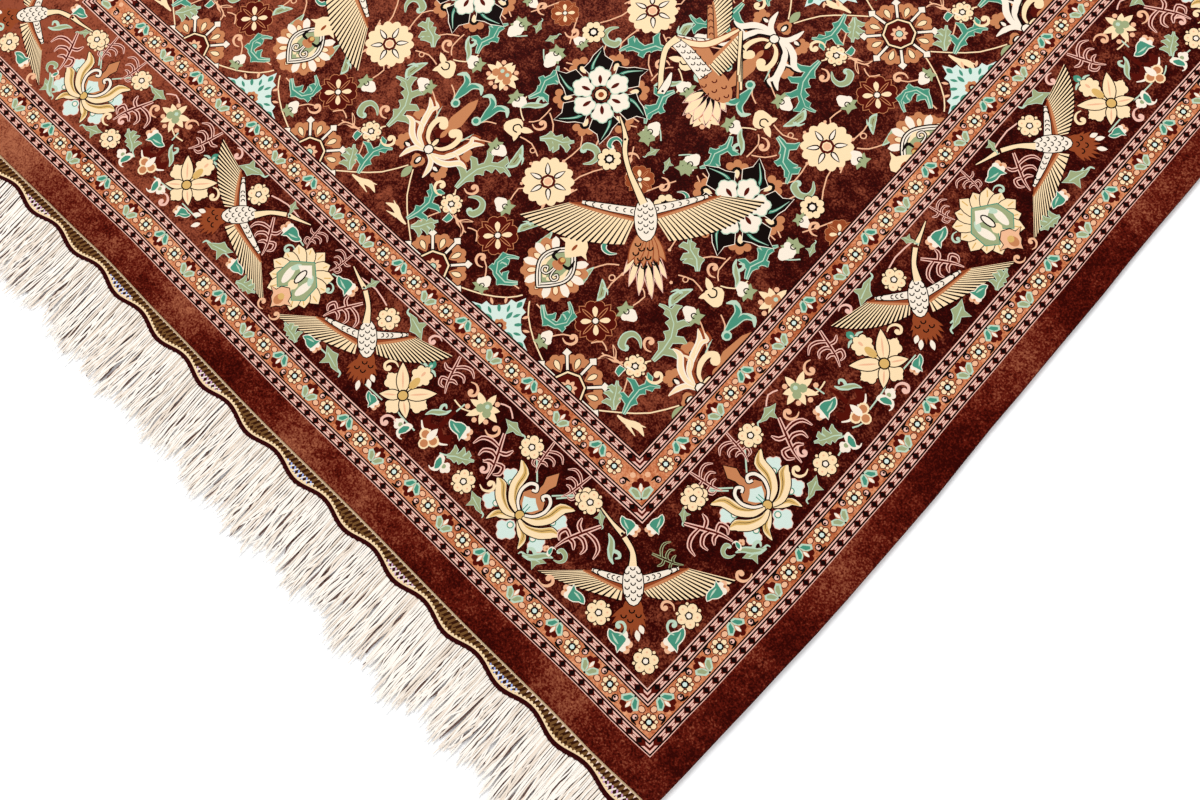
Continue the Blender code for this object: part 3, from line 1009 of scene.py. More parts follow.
# %% Small flowers and leaves of the field
def small_flower():
    """Peach flower of four round petals seen from the side, a white bead at its foot."""
    done = [("salmon", disc(3.4, *at(a, 6.0), sides=9)) for a in (-58, -8, 42)]
    done += [("salmon", disc(3.6, 2.6, 0, 9)), ("salmon", disc(2.4, *at(95, 5), sides=8))]
    return done + [("black", disc(2.9, -1.6, 0, 9)), ("ivory", petal(6.0, 3.2, 180, 0.4, 0, 0.9))]


def cream_bud():
    """Cream flower from the side with a dark horseshoe eye and two back tips."""
    done = [("cream", lobed(8.4, 3, 0.25, -3, 1, 150, 5)), ("cream", petal(13, 5.5, -28, 0, 0, 0.3)),
            ("cream", petal(11, 5, 62, 0, 0, 0.3))]
    eye = ribbon(path([(2.6, -2.6), (-1.2, -3.4), (-3.6, 0), (-1.6, 3), (2, 2.6)], 3), 1.1)
    return done + [("black", eye)]


def sage_leaf():
    """Plain leaf with one side tip and a dark vein."""
    return [stroke("mint", [(0, -12), (2, -5), (0, 4), (-4, 12)], [0.8, 8.4, 7, 0.8]),
            stroke("sage", [(0, -9), (1.6, -4), (0, 3), (-3, 9)], [0.6, 5.6, 4.4, 0.6]),
            stroke("mint", [(0, 3), (5, 3), (8, -2)], [3, 2.4, 0.5]),
            ("olive", ribbon([(1.6, -5), (0.4, 3)], [0.8, 0.5]))]


def ringlet():
    """Small open ring on a stem."""
    return [("peach", disc(3.4, sides=10)), ("ground", disc(2.2, sides=9))]


def feather_leaf():
    """Long pale leaf with three points, 34 mm."""
    done = [stroke("cream", [(0, 0), (-10, 1), (-20, 5), (-30, 2)], [1.4, 5, 6.6, 0.6])]
    done += [("cream", ribbon([(-12, 0), (-24, -3)], [4, 0.6])),
             ("cream", ribbon([(-14, 4), (-26, 9)], [4, 0.6]))]
    return done


tell("feather leaf", feather_leaf())

# %% [markdown]
# ## The turning bird
#
# Further into the field a bird folds back on itself: tail up on the left, neck turned up,
# wings down. It shares its feathers and scales with the flying bird.

# %% The turning bird
def turning_bird():
    """Bird folded back on itself: tail up left, neck turned up, wings down."""
    done = []
    for turn, length, w in ((-158, 25, 7.5), (-140, 33, 8.5), (-122, 36, 9), (-104, 36, 9),
                            (-87, 35, 8.5), (-70, 28, 7.5)):
        foot = (-24, -10)
        done.append(("pink", petal(length + 1.4, w + 1.2, turn, *foot, blunt=0.3, steps=8)))
        done.append(("black", petal(length, w, turn, *foot, blunt=0.3, steps=8)))
        done.append(("cream", petal(length * 0.66, w * 0.86, turn, *at(turn, length * 0.3, *foot),
                                    blunt=0.35)))
    done.append(("salmon", oval(21, 11.5, -23, -6, 14, 16)))
    for x, y in ((-38, -8), (-34, -15), (-31, -3), (-27, -11), (-24, -18), (-21, -4), (-17, -13),
                 (-14, -20), (-12, -6)):
        done.append(scale_mark(x, y, -150, 1.1, "wine"))
    done += wing((-6, 4), (-7, 40), (-21, 2), (-20, 36), (-2, 0), 13)
    for k, (x, y) in enumerate(((-47, -4), (-44, 4), (-38, 9), (-33, 13))):
        done.append(("black", ribbon([(-7, 46), (x, y)], [4.0, 3.4])))
        done.append((("salmon", "cream", "cream", "cream")[k], ribbon([(-7, 46), (x, y)], [2.8, 1.9])))
    done += wing((4, 26), (30, 52), (2, 40), (34, 74), (-3, 3), 12)
    done += [("black", ribbon([(8, 24), (30, 48)], [6.8, 5.6])),
             ("salmon", ribbon([(8, 24), (30, 48)], [5.4, 4.2]))]
    for k in range(5):
        done.append(scale_mark(10 + 4.4 * k, 27 + 4.6 * k, 40, 0.95, "wine"))
    done += dotted_arm([(30, 6), (20, 12), (10, 20)], [6, 5, 2], 5)
    done += [("salmon", oval(13, 7.5, 4, 9, 12, 12))]
    arm = path([(30, 4), (12, 13), (3, 24), (-5, 46)], 4)
    done += [("rust", ribbon(arm, [7, 7, 7.5, 4])), ("cream", ribbon(arm, [5, 5, 5.4, 2]))]
    body = path([(-12, -5), (2, -2), (16, 1), (30, 2)], 4)
    done += edged("ivory", ribbon(body, [13, 12, 11, 8]), by=0.6)
    for row, count in ((-3.6, 6), (0.4, 6), (4, 4)):
        for k in range(count):
            x = -10 + 7 * k + (3 if row > 0 and row < 1 else 0)
            done.append(scale_mark(x, row - 3 + 0.22 * (x + 10), 200, 0.95))
    neck = path([(30, 6), (31, -8), (20, -26), (10, -38), (6, -43)], 4)
    done += [("black", ribbon(neck, [8, 6, 5.6, 5.6, 6.4])),
             ("cream", ribbon(neck, [6.6, 4.6, 4.2, 4.2, 5]))]
    beak = path([(6, -42), (8, -32), (12, -22)], 4)
    done += [("black", ribbon(beak, [7.4, 7.4, 2.4])), ("ivory", ribbon(beak, [6, 6, 1.2]))]
    return done + [("black", disc(1.2, 6, -40, 7))]


tell("turning bird", turning_bird())

# %% [markdown]
# ## Buds and leaves beside the stems
#
# These sit where a stem ends. They are short outlines with a pale edge, which is what parts
# a green leaf from the brown ground.

# %% Buds and leaves beside the stems
def bell_bud():
    """Bud lying on its side: pale lobes on the left, a teal bell on the right."""
    bell = path([(-3.4, -7.6), (0, -4.4), (5, -4.4), (9.5, -3), (12.5, 1), (8, 1.8), (4, 4.4),
                 (-1.6, 4.4), (-2.6, 0), (-3.4, -7.6)], 2)[:-1]
    done = [("peach", disc(2.9, -7.4, -1.6, 8)), ("peach", disc(2.7, -6.4, 3.2, 8)),
            ("ivory", disc(3.2, -3.2, 3.0, 8)), ("ivory", disc(3.0, -4.4, -2.2, 8)),
            ("salmon", disc(1.3, -6.6, 0.4, 6))]
    return done + [("ivory", grown(bell, 0.9)), ("teal", bell),
                   stroke("mint", [(0, -2.4), (4, -1.6), (9, 0.2)], [0.5, 1.7, 0.3])]


def three_leaf():
    """Small leaf of three points on a thin curled foot."""
    body = [(-10, -4.5), (-4, -5), (0, -3.4), (5, -8.4), (4.6, -2.6), (10, 4), (4, 3.2), (-0.6, 4.6),
            (-2.4, 1.2), (-6, -1.6)]
    foot = ribbon(path([(-8, -3.4), (-12, -4), (-13, -7)], 3), [2, 1.6, 0.8])
    return [("mint", foot), ("mint", grown(body, 0.6)), ("sage", body),
            ("mint", ribbon([(-6, -3), (6, 0.6)], [0.4, 1.0]))]


def spray():
    """Outlined pink spray with a small teal leaf behind it."""
    done = [stroke("peach", [(10, 2), (2, 1), (-6, -2), (-9, -8)], [1, 2.4, 3.0, 0.8]),
            stroke("peach", [(2, 1), (-3, 6), (-8, 9)], [2, 3.0, 0.8]),
            stroke("wine", [(1, 0.6), (-5, -2), (-8, -6)], [0.6, 1.4, 0.3]),
            stroke("wine", [(0, 2.6), (-3, 6), (-6, 8)], [0.6, 1.3, 0.3])]
    leaf = [(8, 0), (13, 1), (13, -7), (9, -6), (8, -3)]
    return done + [("ivory", grown(leaf, 0.8)), ("teal", leaf),
                   ("ivory", ribbon([(13, 3), (20, 5)], [1.6, 0.8]))]


def teal_twin():
    """Two teal hooks joined at one foot."""
    done = []
    for flip in (1, -1):
        line = path([(0, -12), (flip * 1.5, 0), (flip * 3, 9), (flip * 10, 13), (flip * 15, 8)], 3)
        done.append(("mint", ribbon(line, [2, 5.4, 6.2, 5, 1.0])))
    for flip in (1, -1):
        line = path([(0, -10), (flip * 1.5, 0), (flip * 3, 9), (flip * 9, 12)], 3)
        done.append(("teal", ribbon(line, [1, 3.6, 4.2, 0.6])))
    return done + [("mint", disc(4.4, -3, -12, 9)), ("teal", disc(2.6, -3.4, -12, 8))]


tell("spray", spray())

# %% [markdown]
# ## Motifs by name
#
# The charts call a motif by its name. Some names share one drawing in another yarn, as a
# weaver would change the silk and keep the knots.

# %% Motifs by name
BIG_LEAF = [(0, -10), (0, 2), (2, 14), (8, 24), (18, 30), (28, 28)]
MOTIFS = {
    "rosette5": rosette(5),
    "rosette6": rosette(6),
    "lotus": lotus(),
    "star": star_flower(),
    "palmette": palmette(),
    "winged": winged_palmette(),
    "leafstar": leaf_star(),
    "peachstar": leaf_star("salmon"),
    "bird": flying_bird(),
    "cornerbird": flying_bird(((12, 13), (20, 21), (32, 25)), ((34, 26), (46, 27), (62, 30)),
                              spread="corner"),
    "longbird": flying_bird(((13, 12), (26, 18), (42, 26), (56, 36), (64, 46)),
                            ((63, 45), (72, 52), (82, 58)), "long", "field"),
    "turning": turning_bird(),
    "curl": comma(),
    "creamcurl": comma("cream"),
    "pinkcurl": comma("pink"),
    "mintcurl": comma("mint"),
    "bighook": hook(),
    "tealhook": hook("teal", "ivory"),
    "sprig": sprig(),
    "twotone": two_tone(),
    "crescent": crescent(),
    "peachbud": crescent("peach", "salmon"),
    "tealbud": bell_bud(),
    "bud": cream_bud(),
    "small": small_flower(),
    "ring": ringlet(),
    "plume": plume(),
    "olivecurl": plume("sage", "ground"),
    "spray": spray(),
    "wheel": wheel(),
    "bigstar": big_star(),
    "eye": eye_palmette(),
    "outline": outline_flower("wine"),
    "rustflower": outline_flower("rust"),
    "scallop": scallop_rosette(),
    "eight": eight_rosette(),
    "bloom": star_bloom(),
    "lily": lily(),
    "darklily": lily("ivory", "black"),
    "leaf": sage_leaf(),
    "sage3": three_leaf(),
    "feather": feather_leaf(),
    "tealtwin": teal_twin(),
    "tealleaf": acanthus([(1, -3), (-2, 8), (-3, 20), (1, 28), (8, 33)], 10, 3, reach=2.2),
    "sageleaf": acanthus(BIG_LEAF, 12, 4, "sage", reach=1.9),
    "bigteal": acanthus(BIG_LEAF, 12, 4, reach=1.9),
    "bigsage": acanthus([(-2, -6), (4, -2), (11, 0), (20, 4)], 9, 3, "sage", reach=1.7),
    "longteal": acanthus([(0, -18), (-4, -8), (0, 2), (-3, 11), (1, 19)], 10, 3, reach=1.8),
    "sagefern": acanthus([(0, -13), (1, -4), (-2, 4), (-1, 13)], 9, 3, "sage", reach=1.8),
    "tealarc": acanthus([(14, -2), (6, -8), (-4, -7), (-9, 0), (-7, 8), (1, 13)], 9, 3,
                        long_side=-1, reach=1.5),
}
print(len(MOTIFS), "motifs")

# %% [markdown]
# ## Chart of the border's corner
#
# A chart says which motif sits where, how far it is turned, its size, and whether it is
# mirrored. Its columns are named in the first line. u and v are mm in from the two pile
# edges; a twin is also laid on the far side of the mitre.

# %% Chart of the border's corner
BORDER_CORNER = """
motif       u     v    turn size flip twin
plume       171   126    0   1   -1   1
olivecurl   128   137  -136  0.65 -1  0
cornerbird  120   107    0   1    1   0
rosette5    76.5  75     0   1    1   0
rosette5    127   76.5  10   1    1   0
rosette5    76    122   20   1    1   0
rosette5    190   134   20   1    1   1
tealbud     100   72     0   1    1   1
tealbud     151   73   172   0.9  1   1
mintcurl    108   80    90   0.8  1   1
curl        172   68   180   0.9  1   1
curl        93    115   20   0.8  1   0
sprig       153   118    0   1    1   0
sprig       191   75     0   1   -1   1
bighook     180   82   120   0.7  1   1
peachbud    187   85   180   0.5  1   1
tealbud     154   141    5   0.85 1   1
sage3       175   131   20   0.6  1   1
"""


print("corner:", len(BORDER_CORNER.splitlines()) - 2, "motifs")

# %% [markdown]
# ## Chart of the border's repeat
#
# Half a repeat, t mm along from its lotus and v mm in from the edge. The stems are thin
# lines through a few marks each.

# %% Chart of the border's repeat
BORDER_RUN = """
motif      t     v    turn  size flip
plume      20    149  -35   0.72 -1
lotus      0     89     0   1    1
rosette5   30.5  134   10   1    1
rosette5   51.5  77     0   1    1
sage3      32    73     0   0.9  1
creamcurl  34    89   180   0.9  1
pinkcurl   47    96     0   0.8 -1
plume      54.5  127    0   1    1
crescent   76    74     0   0.9  1
winged     97    85     0   1    1
crescent   118   74     0   0.9 -1
bigsage    75    88    -8   0.95 -1
tealbud    82    105   -5   1.0  1
sprig      106   103  -90   0.9  1
leafstar   80    131    0   1    1
curl       62    123  180   0.9  1
curl       98    134    0   0.9 -1
plume      126   148  -45   0.85 -1
sage3      52    136  -20   0.9  1
star       138   93     0   1    1
pinkcurl   133   69     0   0.9  1
tealbud    153   73    20   0.75 1
plume      219.5 126    7   0.9 -1
bird       192   104    0   1    1
sage3      204   76     0   1.15 1
tealbud    226   73   180   0.85 -1
bigsage    240   69   -10   0.85 1
creamcurl  164   103    0   0.9  1
rosette5   193.5 131   15   1    1
sage3      172   141  180   1.15 1
pinkcurl   152   143    0   0.8  1
tealbud    240   127    0   1.0  1
sage3      225   143   90   0.6  1
palmette   276.5 105    0   1    1
plume      257   149   34   0.6  1
mintcurl   250   115    0   0.7 -1
curl       268   68   180   0.7  1
"""

BORDER_STEMS = """
colour  marks
mint    -24,131  -12,118
mint    8,117  21,130
mint    66,74  79,76
mint    90,80  99,76  104,84
mint    82,80  74,84  68,92
pink    58,140  66,145  74,142
cream   86,122  94,118  104,119
mint    110,79  128,80  134,82
mint    148,79  160,79  168,79
mint    206,75  218,75
pink    203,138  220,142  240,140
mint    248,128  258,126
mint    96,113  95,122
"""


print("border repeat:", len(BORDER_RUN.splitlines()) - 2, "motifs")

# %% [markdown]
# ## Chart of the field
#
# One cell, x mm away from the axis of the eyes and y mm away from the row of wheels. The
# second and third row of cells swap some leaves for others.

# %% Chart of the field
FIELD_CELL = """
motif      x     y     turn  size flip
wheel      78    0       0   1    1
feather    122   11     0    0.9 -1
tealleaf   124   18     0    1    1
bigsage    111   13     102  1.0  1
rosette6   105.5 50      0   1    1
creamcurl  124   55    180   1.0 -1
bighook    99    64      0   1.15 -1
curl       101   72    180   0.9 1
sageleaf   113   73      0   1    -1
outline    56    56      0   1    1
curl       52    32    180   0.9 -1
twotone    35    16     90   0.9 -1
tealarc    29.5  39      0   1.09 -1
spray      88    42      0   1    1
twotone    70    79      0   1   -1
leaf       42    78     20   0.8  1
ring       41    92      0   0.9  1
leaf       24    80     20   0.7 -1
small      136   63    180   1    1
small      131   88    190   1    1
twotone    112   113     0   1    1
leaf       93    117     0   1    -1
tealhook   30    110    180   1.0  1
tealtwin   140   130     0   1   -1
bud        111   137   180   1.1  1
ring       87    131     0   0.8  1
sagefern   78    152    52   1.15 1
bighook    46    150    90   1.2  1
curl       98    153    180   0.9  1
scallop    57.5  119     0   1    1
eight      32    168     0   1    1
twotone    130   157     0   1    1
longteal   124   183     0   1.05 1
tealhook   31    183     0   0.8  1
sprig      114   163    -90  1.0  1
bloom      78    207.3   0   1    1
twotone    133   205    90   1    1
twotone    21    205    90   1   -1
sage3      8     196    90   0.6  1
curl       19    180     0   0.9  1
peachstar  153   165     0   1    1
rustflower 0     171     0   0.72 1
"""

ROW_SWAPS = {"sageleaf": "bigteal", "sagefern": "longteal", "tealhook": "twotone"}


print("field cell:", len(FIELD_CELL.splitlines()) - 2, "motifs")

# %% [markdown]
# ## Stems of the field
#
# The stems join what stands in a cell. They are drawn under the motifs, so their ends need
# not be exact.

# %% Stems of the field
FIELD_STEMS = """
colour  marks
cream   52,1   30,10  12,22  4,32
cream   103,0  122,14  140,30  153,50
peach   96,46  90,41  78,40
peach   47,72  44,88  46,106
peach   143,96  128,108  118,113
peach   104,133  92,135  80,130
peach   108,148  102,155  102,170
peach   45,110  40,140  30,158
peach   120,205  110,206
peach   34,205  44,200
peach   60,142  58,160  66,170
mint    140,96  136,108
peach   118,13  112,30  108,38
peach   10,34  18,33  24,31
peach   52,34  44,30  38,22
cream   112,62  108,56
peach   66,40  72,47  80,44
peach   70,86  72,98  66,102
peach   24,88  30,98  38,104
cream   136,70  140,82  136,92
peach   128,128  136,124  140,118
peach   84,152  90,160  100,166
cream   112,146  122,152  126,164
peach   10,164  16,176  24,190
mint    134,196  140,200  146,206
peach   56,112  40,118  34,130
peach   48,168  52,178  52,190
"""


print("field stems:", len(FIELD_STEMS.splitlines()) - 2)

# %% [markdown]
# ## Guard stripes and narrow borders
#
# Four thin guard stripes frame the wide border: rows of dark diamonds between pink blocks,
# held by two pink lines. Between each pair runs a salmon band of small flowers and split
# leaves. Both are one repeat, drawn once along a straight line and laid out by a loop.

# %% One block of a guard stripe
def guard_block():
    """Pink block between two dark diamonds, 10 mm long; 0, 0 is its middle."""
    top = [(-4.0, -2.3), (4.0, -2.3), (2.4, -0.95), (-2.4, -0.95)]
    done = both([("black", [(-5, -2.3), (-5, 2.3), (-2.8, 0)])])
    done += [("pink", top), ("pink", [(x, -y) for x, y in top[::-1]])]
    return done + [("pink", oval(1.9, 0.7, sides=6))]


def guard_run(count, pitch):
    """Blocks in a row to the right of 0, 0, centred on the line y = 0."""
    done = []
    for k in range(count):
        done += moved(guard_block(), pitch * (k + 0.5))
    return done


tell("guard block", guard_block())

# %% [markdown]
# ## One repeat of a narrow border
#
# Between two guards the flowers sit on the salmon ground with a split leaf between each
# pair, its point up and down in turn. Dark spirals and peach spots fill the corners.

# %% One repeat of a narrow border
def eye_flower():
    """Cream flower of four square petals round a dark ring, 14 mm across."""
    done = []
    for far, r, start in ((4.5, 2.9, 0), (5.2, 2.0, 45)):
        done += ring_of(lambda a: [("wine", disc(r, *at(a, far), sides=6))], 4, start)
    for far, r, start in ((4.5, 2.2, 0), (5.3, 1.3, 45)):
        done += ring_of(lambda a: [("cream", disc(r, *at(a, far), sides=6))], 4, start)
    return done + [("black", disc(3.2, sides=8)), ("sky", disc(1.9, sides=6))]


def split_leaf(leaf, light):
    """Leaf of two halves, light between them, and a dark three-lobed one across from it."""
    done = [("wine", disc(2.7, -3.6, -2.6, 7)), ("wine", disc(2.7, 3.6, -2.6, 7)),
            ("wine", disc(2.5, 0, -5.2, 7))]
    half = [(0, 7.6), (-4.0, 7.0), (-8.6, 1.0), (-6.4, -1.8), (-2.8, -0.4), (-0.3, 2.6)]
    done += both([(light, half),
                  (leaf, [(-0.7, 6.0), (-3.6, 5.4), (-6.6, 1.0), (-5.2, -0.4), (-2.2, 1.4)])])
    return done + [("ivory", petal(6.4, 2.6, -90, 0, 2.4, 0.5)), ("black", disc(0.9, 0, 7.2, 5))]


def spiral_spot():
    """Small dark spiral with a pale heart, about 6 mm across."""
    tail = [(-4.4, -3.4), (-0.6, -3.0), (2.0, -1.4)]
    return [("black", ribbon(tail, [0.8, 2.0, 2.4])), ("black", disc(2.9, sides=8)),
            ("pink", disc(1.9, 0.2, 0.2, 7)), ("black", disc(1.0, -0.6, 0.3, 5))]


def band_run(count, pitch):
    """Flowers and split leaves in turn, starting on a flower at 0, 0."""
    done = []
    for k in range(count):
        side = 1 if k % 2 == 0 else -1
        x = pitch * (k + 0.5)
        leaf, light = (("teal", "mint"), ("sage", "mint"))[k % 2]
        for hand in (-1, 1):
            done += moved([("wine", oval(3.4, 2.9, sides=7)), ("peach", oval(2.6, 2.2, sides=7))],
                          x + hand * 9.8, side * 3.6)
        done += moved(split_leaf(leaf, light), x, 0, tall=side)
        for hand in (-1, 1):
            done += moved(spiral_spot(), x + hand * 10.2, -side * 4.2, flip=-hand, tall=side)
    for k in range(count + 1):
        done += moved(eye_flower(), pitch * k)
    return done


tell("border repeat", band_run(1, 29))

# %% [markdown]
# ## Turning the corner
#
# A weaver turns the drawing at the mitre, the slanting line from the corner. Here x and y
# trade places, which lays a run of the short side along the long side.

# %% Lay a run along both sides of a corner
def flipped(shapes):
    """The same shapes mirrored about the mitre of the corner."""
    return mapped(shapes, lambda x, y: (y, x))


print("the point 1, 0 goes to", flipped([("pink", [(1, 0)])])[0][1][0])

# %% [markdown]
# ## The flat-woven end strip
#
# Past the pile each end has a strip about 15 mm deep whose edge swells in shallow waves.
# It is a flat weave with a row of slanted olive stitches, patches of blue, lilac or brown
# lattice under the crests, and a near-black chain that locks the last row.

# %% Draw the end strip
def strip_edge(u):
    """How far the strip reaches beyond the pile at u mm, following the waves."""
    turn = math.tau * (u - 1000 * SCALLOP_START) / (1000 * SCALLOP_PITCH)
    return 1000 * (END_STRIP + SCALLOP_DEEP * math.cos(turn))


def strip_line(first, last, inset, step=2.6):
    """A line that follows the waves, inset mm inside the edge."""
    count = round((last - first) / step)
    marks = [first + (last - first) * k / count for k in range(count + 1)]
    return [(u, -(strip_edge(u) - inset)) for u in marks]


def strip_stitches(first=0.0, last=1000.0, pitch=4.6):
    """Everything on one end strip; v runs from 0 at the pile out to about -18."""
    done = []
    for k in range(round((last - first) / pitch)):
        u = first + pitch * (k + 0.5)
        reach = strip_edge(u) - 5.0
        crest = math.cos(math.tau * (u / 1000 - SCALLOP_START) / SCALLOP_PITCH)
        turn = round((u / 1000 - SCALLOP_START) / SCALLOP_PITCH)
        low = min(reach, 8.2)
        done.append(("khaki", ribbon([(u - 1.3, -2.2), (u + 1.5, -low)], [1.9, 2.1])))
        if crest > -0.25:
            yarn = ("blue", "khaki", "lilac", "khaki")[turn % 4]
            light = ("ivory", "khaki", "ivory", "khaki")[turn % 4]
            for hand in (-1, 1):
                bar = ribbon([(u - hand * 1.7, -7.4), (u + hand * 1.7, -reach)], [1.3, 1.3])
                done.append((yarn if hand < 0 else light, bar))
        tall = 4.6 if u < 130 or u > 820 else 3.0
        done.append(("blush", [(u - 3.7, -0.4), (u - 0.7, -0.4), (u - 1.6, -tall)]))
    count = round((last - first) / 3.2)
    for k in range(count):
        u = first + (last - first) * (k + 0.5) / count
        done.append(("cream", disc(1.25, u, -(strip_edge(u) - 5.2), 6)))
    done.append(("cream", ribbon(strip_line(first, last, 4.4, 4.0), [1.5, 1.5])))
    done.append(("garnet", ribbon(strip_line(first, last, 1.9, 4.0), [3.8, 3.8])))
    pile_side = [(first + 20 * k, -0.8) for k in range(round((last - first) / 20) + 1)]
    return done + [("cream", ribbon(pile_side, [2.2, 2.2]))]


tell("end strip", strip_stitches())

# %% [markdown]
# ## From drawn shapes to woven yarn
#
# In the real rug each knot is one colour, so a motif has a hard edge and no thickness of
# its own: the pattern lies in one level surface. Laying paper-thin shapes on top of each
# other would flicker and cast shadows that no rug has. So the shapes are cut into each
# other instead. Blender's Delaunay tool splits the plane along every outline, each small
# triangle then takes the colour of the last shape drawn over it, and a second cut keeps
# only the lines where two colours meet.

# %% Cut and colour the plane
def inside(points, px, py):
    """For arrays of places, whether each lies inside a closed outline (winding rule)."""
    turns = numpy.zeros(len(px), int)
    for (ax, ay), (bx, by) in zip(points, points[1:] + points[:1]):
        side = (bx - ax) * (py - ay) - (px - ax) * (by - ay)
        turns += ((ay <= py) & (by > py) & (side > 0)).astype(int)
        turns -= ((ay > py) & (by <= py) & (side < 0)).astype(int)
    return turns != 0


def colour_at(shapes, px, py):
    """The number of the topmost shape at each place."""
    top = numpy.zeros(len(px), int)
    for number, (colour, points) in enumerate(shapes):
        xs = [p[0] for p in points]
        ys = [p[1] for p in points]
        near = numpy.nonzero((px > min(xs)) & (px < max(xs)) & (py > min(ys)) & (py < max(ys)))[0]
        if len(near):
            hit = inside(points, px[near], py[near])
            top[near[hit]] = number
    return top


def cut_plane(marks, edges):
    """Triangles of the plane cut along edges."""
    result = delaunay_2d_cdt([Vector(m) for m in marks], edges, [], 0, 1e-4, False)
    places = numpy.array([(v.x, v.y) for v in result[0]])
    return places, numpy.array([tuple(f) for f in result[2]], int)


print("inside a disc:", inside(disc(1), numpy.array([0.0, 2.0]), numpy.array([0.0, 0.0])))

# %% [markdown]
# ## One panel of the pattern
#
# A panel is a region of the rug with everything that is drawn in it. Its outline gets a
# mark every 20 mm, so that it can follow the slight bow of the rug's edges afterwards, and
# two panels that share an edge share its marks.

# %% Weave a panel
def stepped(outline, step=20.0):
    """An outline with marks added along its long sides."""
    done = []
    for (ax, ay), (bx, by) in zip(outline, outline[1:] + outline[:1]):
        count = max(1, round(math.hypot(bx - ax, by - ay) / step))
        done += [(ax + (bx - ax) * k / count, ay + (by - ay) * k / count) for k in range(count)]
    return done


def weave(outline, ground, shapes):
    """Triangles in mm and the colour of each, for shapes drawn over a ground."""
    shapes = [(ground, stepped(outline))] + list(shapes)
    marks, edges = [], []
    for colour, points in shapes:
        start = len(marks)
        marks += points
        edges += [(start + k, start + (k + 1) % len(points)) for k in range(len(points))]
    for pass_number in (1, 2):
        places, faces = cut_plane(marks, edges)
        middle = places[faces].mean(axis=1)
        keep = inside(shapes[0][1], middle[:, 0], middle[:, 1])
        faces, middle = faces[keep], middle[keep]
        top = colour_at(shapes, middle[:, 0], middle[:, 1])
        yarn = [shapes[k][0] for k in top]
        if pass_number == 1:
            marks, edges = colour_edges(places, faces, yarn)
    return places, faces, yarn


def colour_edges(places, faces, yarn):
    """The edges that part two colours, or end the panel."""
    sides = {}
    for face, colour in zip(faces, yarn):
        for a, b in zip(face, numpy.roll(face, -1)):
            sides.setdefault((min(a, b), max(a, b)), []).append(colour)
    kept = [pair for pair, both in sides.items() if len(both) == 1 or both[0] != both[1]]
    used = sorted({k for pair in kept for k in pair})
    number = {k: n for n, k in enumerate(used)}
    marks = [tuple(places[k]) for k in used]
    return marks, [(number[a], number[b]) for a, b in kept]


print("a disc on a ground:", len(weave(disc(20), "ground", [("pink", disc(5))])[1]), "triangles")

# %% [markdown]
# ## Silk yarns
#
# The pile is cut silk: each knot stands up as a tuft of fine filaments. Silk has an index of
# refraction near 1.54, but a surface made of cut ends scatters light, so it looks matt from
# above and its highlights are nearly off. A bump of small cells stands for the tufts, which
# are about a millimetre apart.

# %% Colour and node helpers
def dye(code):
    """An sRGB hex colour as the linear one that a shader wants."""
    parts = [int(code[k:k + 2], 16) / 255 for k in (1, 3, 5)]
    return tuple(c / 12.92 if c <= 0.04045 else ((c + 0.055) / 1.055) ** 2.4
                 for c in parts) + (1.0,)


def add_node(tree, kind, settings=None, values=None, links=None):
    """A node with its settings, its input values, and links from other nodes' sockets."""
    node = tree.nodes.new(kind)
    for name, value in (settings or {}).items():
        setattr(node, name, value)
    for name, value in (values or {}).items():
        node.inputs[name].default_value = value
    for name, socket in (links or {}).items():
        tree.links.new(socket, node.inputs[name])
    return node


def tuft_bump(tree, spacing, depth, strength):
    """Bump of cut tufts on a jittered grid; spacing and depth in metres."""
    place = add_node(tree, "ShaderNodeTexCoord")
    tufts = add_node(tree, "ShaderNodeTexVoronoi", {"feature": "F1", "voronoi_dimensions": "2D"},
                     {"Scale": 1 / spacing, "Randomness": 0.55},
                     {"Vector": place.outputs["Object"]})
    return add_node(tree, "ShaderNodeBump", {"invert": True},
                    {"Strength": strength, "Distance": depth},
                    {"Height": tufts.outputs["Distance"]})


print("cream dye, linear:", [round(c, 3) for c in dye("#e9cfa8")])

# %% [markdown]
# ## One silk yarn
#
# Every yarn has the same finish and its own dye, as yarns of one silk do.

# %% Make one silk yarn
SILK_IOR = 1.54


def silk_yarn(name, code):
    """Cut silk pile of one dye."""
    made = bpy.data.materials.new("cut silk pile " + name)
    made.use_nodes = True
    tree = made.node_tree
    shader = tree.nodes["Principled BSDF"]
    shader.inputs["Base Color"].default_value = dye(code)
    shader.inputs["Roughness"].default_value = 0.6
    shader.inputs["IOR"].default_value = SILK_IOR
    shader.inputs["Specular IOR Level"].default_value = 0.04
    bump = tuft_bump(tree, spacing=0.0011, depth=0.0004, strength=0.35)
    tree.links.new(bump.outputs["Normal"], shader.inputs["Normal"])
    made.diffuse_color = dye(code)
    return made


print("silk, index of refraction", SILK_IOR)
